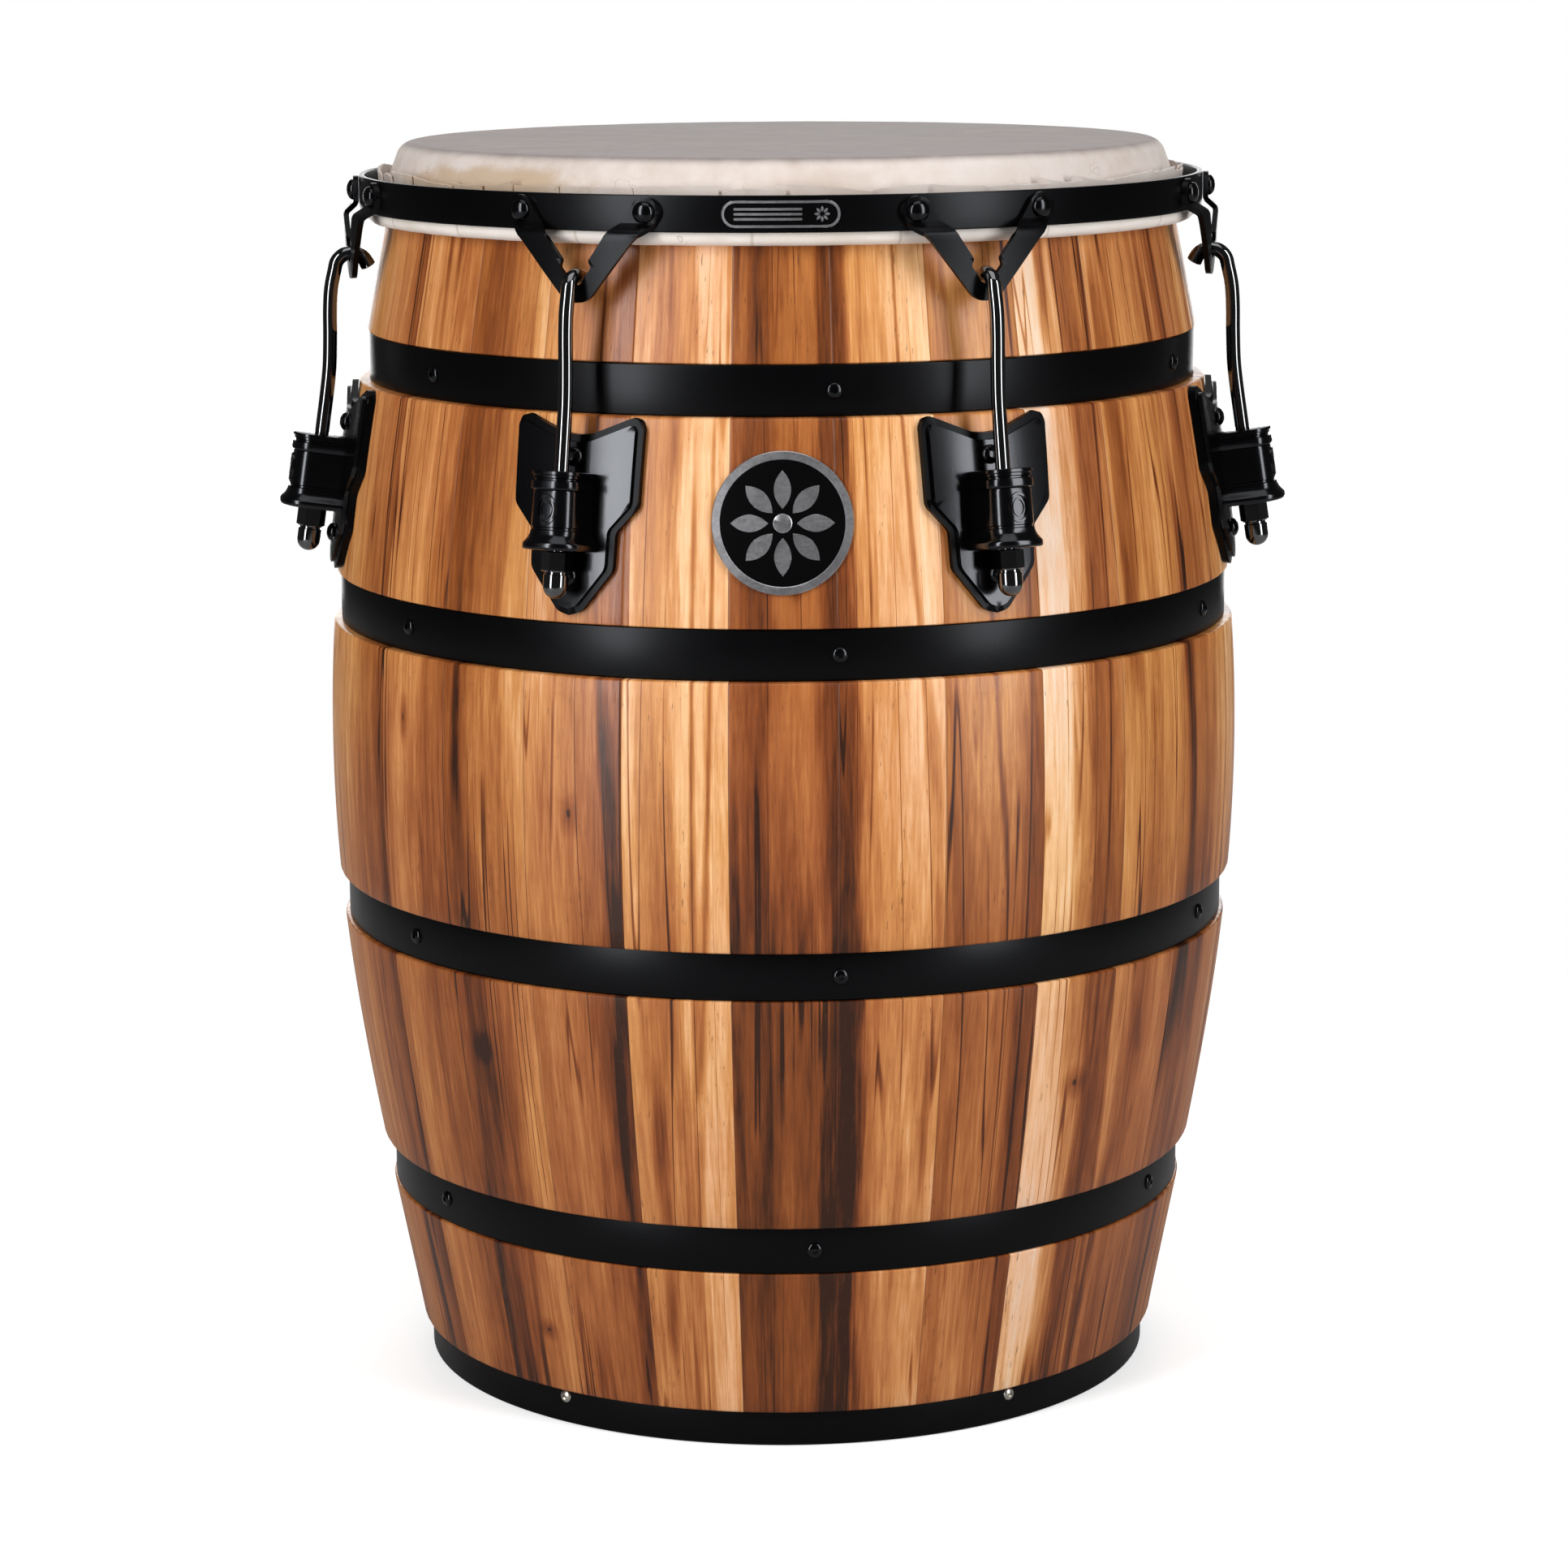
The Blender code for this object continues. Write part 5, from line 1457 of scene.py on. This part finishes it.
# %% Tuning nut
nut_top = -(CASING_LENGTH + CLEARANCE)
hex_flat, hex_end = 7.0 * MM, nut_top - 11.0 * MM
neck_end, nut_end = nut_top - 12.2 * MM, nut_top - NUT_LENGTH
bore_end = nut_end + 3.4 * MM
NECK, DOME = 5.9 * MM, 6.6 * MM
profile = [
    (0, bore_end, False), (BORE, bore_end, False), (BORE, nut_top - 0.6 * MM, False),
    (BORE + 0.6 * MM, nut_top, False), (hex_flat - 0.5 * MM, nut_top, False),
    (hex_flat, nut_top - 0.7 * MM, True), (hex_flat, hex_end + 0.7 * MM, True),
    (hex_flat - 0.4 * MM, hex_end, False), (NECK, hex_end, False), (NECK, neck_end, False),
    (DOME - 0.3 * MM, neck_end, False), (DOME, neck_end - 0.4 * MM, False),
]
for radius, height, _ in dome(DOME, nut_end, nut_end + DOME, 8)[::-1]:
    profile.append((radius if radius > 1e-9 else 0, height, False))
bm = turned_part(profile)
bmesh.ops.transform(bm, matrix=rod_frame, verts=bm.verts)
nut = finished_mesh(bm, "nut", 26)
show_moving("tuning_nut_dome", nut, "nut", "tuning_nut", GLOSS_BLACK)

# %% Plate bolts, with their washers and nuts inside the shell
stack = PLATE_BACK + PLATE_THICKNESS + CLEARANCE
inside = -(stack + WALL + 2.0 * MM)
washer_end, bolt_end = inside - 1.5 * MM, inside - 6.5 * MM
HEAD_RADIUS, HEAD_HEIGHT, SOCKET = 5.2 * MM, 3.4 * MM, 2.0 * MM
THREAD, WASHER, NUT_FLAT = 3.0 * MM, 8.0 * MM, 5.0 * MM
socket_floor = HEAD_HEIGHT - 2.0 * MM
profile = [(0, socket_floor, False), (SOCKET, socket_floor, True), (SOCKET, HEAD_HEIGHT - 0.15 * MM, True)]
profile += [point for point in dome(HEAD_RADIUS, HEAD_HEIGHT, 0.5 * MM, 7) if point[0] > SOCKET * 1.3]
profile += [
    (HEAD_RADIUS - 0.1 * MM, 0, False), (THREAD, 0, False), (THREAD, inside, False),
    (WASHER - 0.4 * MM, inside, False), (WASHER, inside - 0.4 * MM, False), (WASHER, washer_end, False),
    (NUT_FLAT, washer_end, True), (NUT_FLAT, bolt_end + 0.5 * MM, True), (NUT_FLAT - 0.5 * MM, bolt_end, False),
    (0, bolt_end, False),
]
UPPER_BOLT, LOWER_BOLT = 556.0 * MM, 493.3 * MM
both_bolts = []
for level in (UPPER_BOLT, LOWER_BOLT):
    head_at = on_staves(stack)(0, level)
    bm = turned_part(profile, 36)
    matrix = Matrix.Translation(head_at) @ Matrix.Rotation(math.pi / 2 - ROD_TILT, 4, "X")
    bmesh.ops.transform(bm, matrix=matrix, verts=bm.verts)
    both_bolts.append(finished_mesh(bm, "bolt", 30))
bolt_pair = joined(*both_bolts)
bolt_pair.set_sharp_from_angle(angle=math.radians(30))
bolt_nodes = station_names("lug_bolt_upper") + station_names("lug_bolt_lower")
show("lug_bolts", at_stations(bolt_pair, SCREW_BLACK), "shell", bolt_nodes)

# %% [markdown]
# ## Screws on the hoops and brackets
#
# Six screws hold each hoop and five hold the base hoop, and every bracket has one in each tab. They are the
# same domed screw at different sizes, set on the band's surface and repeated by the ring tree.


# %% A domed screw, pointing outwards at the front of the drum
def screw(radius, height, head_radius, head_height, socket):
    """The socket is the distance to its flats, or 0 for a plain dome."""
    profile = dome(head_radius, head_height, head_height * 0.12, 7)
    if socket:
        floor_at = head_height * 0.45
        recess = [(0, floor_at, False), (socket, floor_at, True), (socket, head_height * 0.97, True)]
        profile = recess + [point for point in profile if point[0] > socket * 1.25]
    shank, sunk = head_radius * 0.55, -2 * MM
    profile += [(head_radius, 0, False), (shank, 0, False), (shank, sunk, False), (0, sunk, False)]
    bm = turned_part(profile, 24)
    matrix = Matrix.Translation((0, -radius, height)) @ Matrix.Rotation(math.pi / 2, 4, "X")
    bmesh.ops.transform(bm, matrix=matrix, verts=bm.verts)
    return finished_mesh(bm, "screw", 30)


# where each hoop's first screw is, in degrees from the front
HOOP_SCREWS = {"shell_hoop_1": 6.7, "shell_hoop_2": 6.7, "shell_hoop_3": 6.7, "shell_hoop_4": 3.8}
for node, first in HOOP_SCREWS.items():
    _, outer_radius, bottom, top = HOOPS[node]
    one = screw(outer_radius, (bottom + top) / 2, 4.4 * MM, 2.1 * MM, 1.3 * MM)
    ring = repeated(one, 6, math.radians(first), SCREW_BLACK)
    show(node.replace("shell_hoop", "hoop_screws"), ring, "shell", [])
_, outer_radius, bottom, top = HOOPS["base_hoop"]
one = screw(outer_radius, top - 4.6 * MM, 3.6 * MM, 1.7 * MM, 1.4 * MM)
ring = repeated(one, 5, math.radians(36), ZINC)
show("base_screws", ring, "shell", [])

tab_face = TAB_RADIUS + BRACKET_THICKNESS / 2
TAB_SCREW_ASIDE, TAB_SCREW_HEIGHT = 36.6 * MM, 684.2 * MM
tab_turn = math.asin(TAB_SCREW_ASIDE / tab_face)
for side, label in ((-1, "left"), (1, "right")):
    one = screw(tab_face, TAB_SCREW_HEIGHT, 5.9 * MM, 3.9 * MM, 0)
    ring = at_stations(one, SCREW_BLACK, side * tab_turn)
    show(f"bracket_screws_{label}", ring, "rim", [])


# %% [markdown]
# ## Badge and rim plate
#
# A round badge sits on the front staves and a small pill-shaped plate on the rim. Both carry a plain rosette in
# place of any mark. They are thin and follow the surface below, so their points are laid on it as the gasket's
# are.

# %% Round badge
BADGE_RADIUS, BADGE_HEIGHT = 37.5 * MM, 523.0 * MM


def on_badge(profile, sides=72):
    """Turn (distance from the badge's middle, height off the staves) points, and lay them on the barrel."""
    bm = bmesh.new()
    rings = []
    for reach, off in profile:
        if reach == 0:
            rings.append([bm.verts.new(on_staves(off)(0, BADGE_HEIGHT))] * sides)
            continue
        spots = arc_points(0, BADGE_HEIGHT, reach, [360 * k / sides for k in range(sides)])
        rings.append([bm.verts.new(on_staves(off)(x, z)) for x, z in spots])
    pairs = list(zip(rings, rings[1:]))
    if profile[0][0] != 0:
        pairs.append((rings[-1], rings[0]))
    for first, second in pairs:
        bridge(bm, first, second)
    return bm


back, face = 0.6 * MM, 1.45 * MM
reaches = [r * MM for r in (0, 8, 16, 24, 32, 33.4)]
field = [(r, back) for r in reaches] + [(r, face) for r in reversed(reaches)]
field = finished_mesh(on_badge(field), "field", 40)
show("shell_badge_field", field, "shell", ["shell_badge"], BADGE_BLACK)
outer, inner = BADGE_RADIUS, 33.1 * MM
top, broken = 1.8 * MM, 0.35 * MM
ring = [(outer, back), (outer, top - broken), (outer - broken, top)]
ring += [(inner + broken, top), (inner, top - broken), (inner, back)]
show("shell_badge_ring", finished_mesh(on_badge(ring), "ring", 30), "shell", [], SILVER)


# %% Rosette: petals laid on the badge
def petal_outline(inner, outer, width, turn, steps=9):
    """A pointed leaf from one distance to another, turned about the badge's middle."""
    right = []
    for step in range(steps + 1):
        share = step / steps
        right.append((width * math.sin(math.pi * share) ** 0.8, inner + (outer - inner) * share))
    whole = right + [(-x, z) for x, z in reversed(right[1:-1])]
    c, s = math.cos(turn), math.sin(turn)
    return [(x * c - z * s, x * s + z * c) for x, z in whole]


def rosette(petals, inner, outer, width, surface, low, high, middle):
    """Raised petals round a middle point, as one mesh."""
    parts = []
    for k in range(petals):
        leaf = petal_outline(inner, outer, width, math.tau * k / petals)
        sheet = cut_sheet([(x + middle[0], z + middle[1]) for x, z in leaf], [], [])
        parts.append(finished_mesh(give_sides(sheet, surface(low), surface(high), 0.15 * MM, 1), "petal", 30))
    whole = joined(*parts)
    whole.set_sharp_from_angle(angle=math.radians(30))
    return whole


petals = rosette(8, 7.5 * MM, 27.5 * MM, 4.6 * MM, on_staves, 1.2 * MM, 1.78 * MM, (0, BADGE_HEIGHT))
show("shell_badge_petals", petals, "shell", [], SILVER)
eye = [(0, 1.2 * MM), (5.0 * MM, 1.2 * MM), (5.0 * MM, 1.6 * MM), (4.7 * MM, 1.78 * MM), (0, 1.78 * MM)]
show("shell_badge_eye", finished_mesh(on_badge(eye, 36), "eye", 30), "shell", [], SILVER)


# %% Rim plate
def on_rim(off):
    return lambda x, z: Vector((x, -math.sqrt((RIM_OUTER + off) ** 2 - x**2), z))


def pill(length, width, height, steps=10):
    """Outline of a bar with round ends, centred at this height."""
    radius = width / 2
    arc = [math.radians(-90 + 180 * k / steps) for k in range(steps + 1)]
    right = [(length / 2 - radius + radius * math.cos(a), height + radius * math.sin(a)) for a in arc]
    return right + [(-x, z) for x, z in reversed(right)]


def on_rim_plate(outline, low, high, bevel, name):
    """A thin sheet of this outline on the rim, from one height off it to another."""
    sheet = cut_sheet(outline, spread(-31 * MM, 31 * MM, 6 * MM), [])
    return finished_mesh(give_sides(sheet, on_rim(low), on_rim(high), bevel, 1), name, 30)


PILL_HEIGHT, BAR_TURN = 683.5 * MM, math.radians(-1.6)
body = on_rim_plate(pill(62 * MM, 14 * MM, PILL_HEIGHT), 0.6 * MM, 1.3 * MM, 0.2 * MM, "pill")
show("rim_plate_body", body, "rim", ["rim_plate"], SILVER)
field = on_rim_plate(pill(59.4 * MM, 11.4 * MM, PILL_HEIGHT), 1.1 * MM, 1.42 * MM, 0.1 * MM, "pill_field")
show("rim_plate_field", field, "rim", [], BADGE_BLACK)
small = rosette(8, 1.1 * MM, 4.2 * MM, 0.75 * MM, on_rim, 1.3 * MM, 1.5 * MM, (21.5 * MM, PILL_HEIGHT))
show("rim_plate_petals", small, "rim", [], SILVER)
bars = []
for z in (-2.6, 0.0, 2.6):
    line = pill(36 * MM, 1.3 * MM, PILL_HEIGHT + z * MM, 4)
    bars.append(on_rim_plate(line, 1.3 * MM, 1.5 * MM, 0.0, "bar"))
    bars[-1].transform(Matrix.Rotation(BAR_TURN, 4, "Z"))
show("rim_plate_bars", joined(*bars), "rim", [], SILVER)

# %% Finish of the one frame part that stays: the steel ring inside the rolled skin
for slot in frame["nodes"]["flesh_hoop"].material_slots:
    slot.material = ZINC
print("flesh_hoop is finished in", ZINC.name)
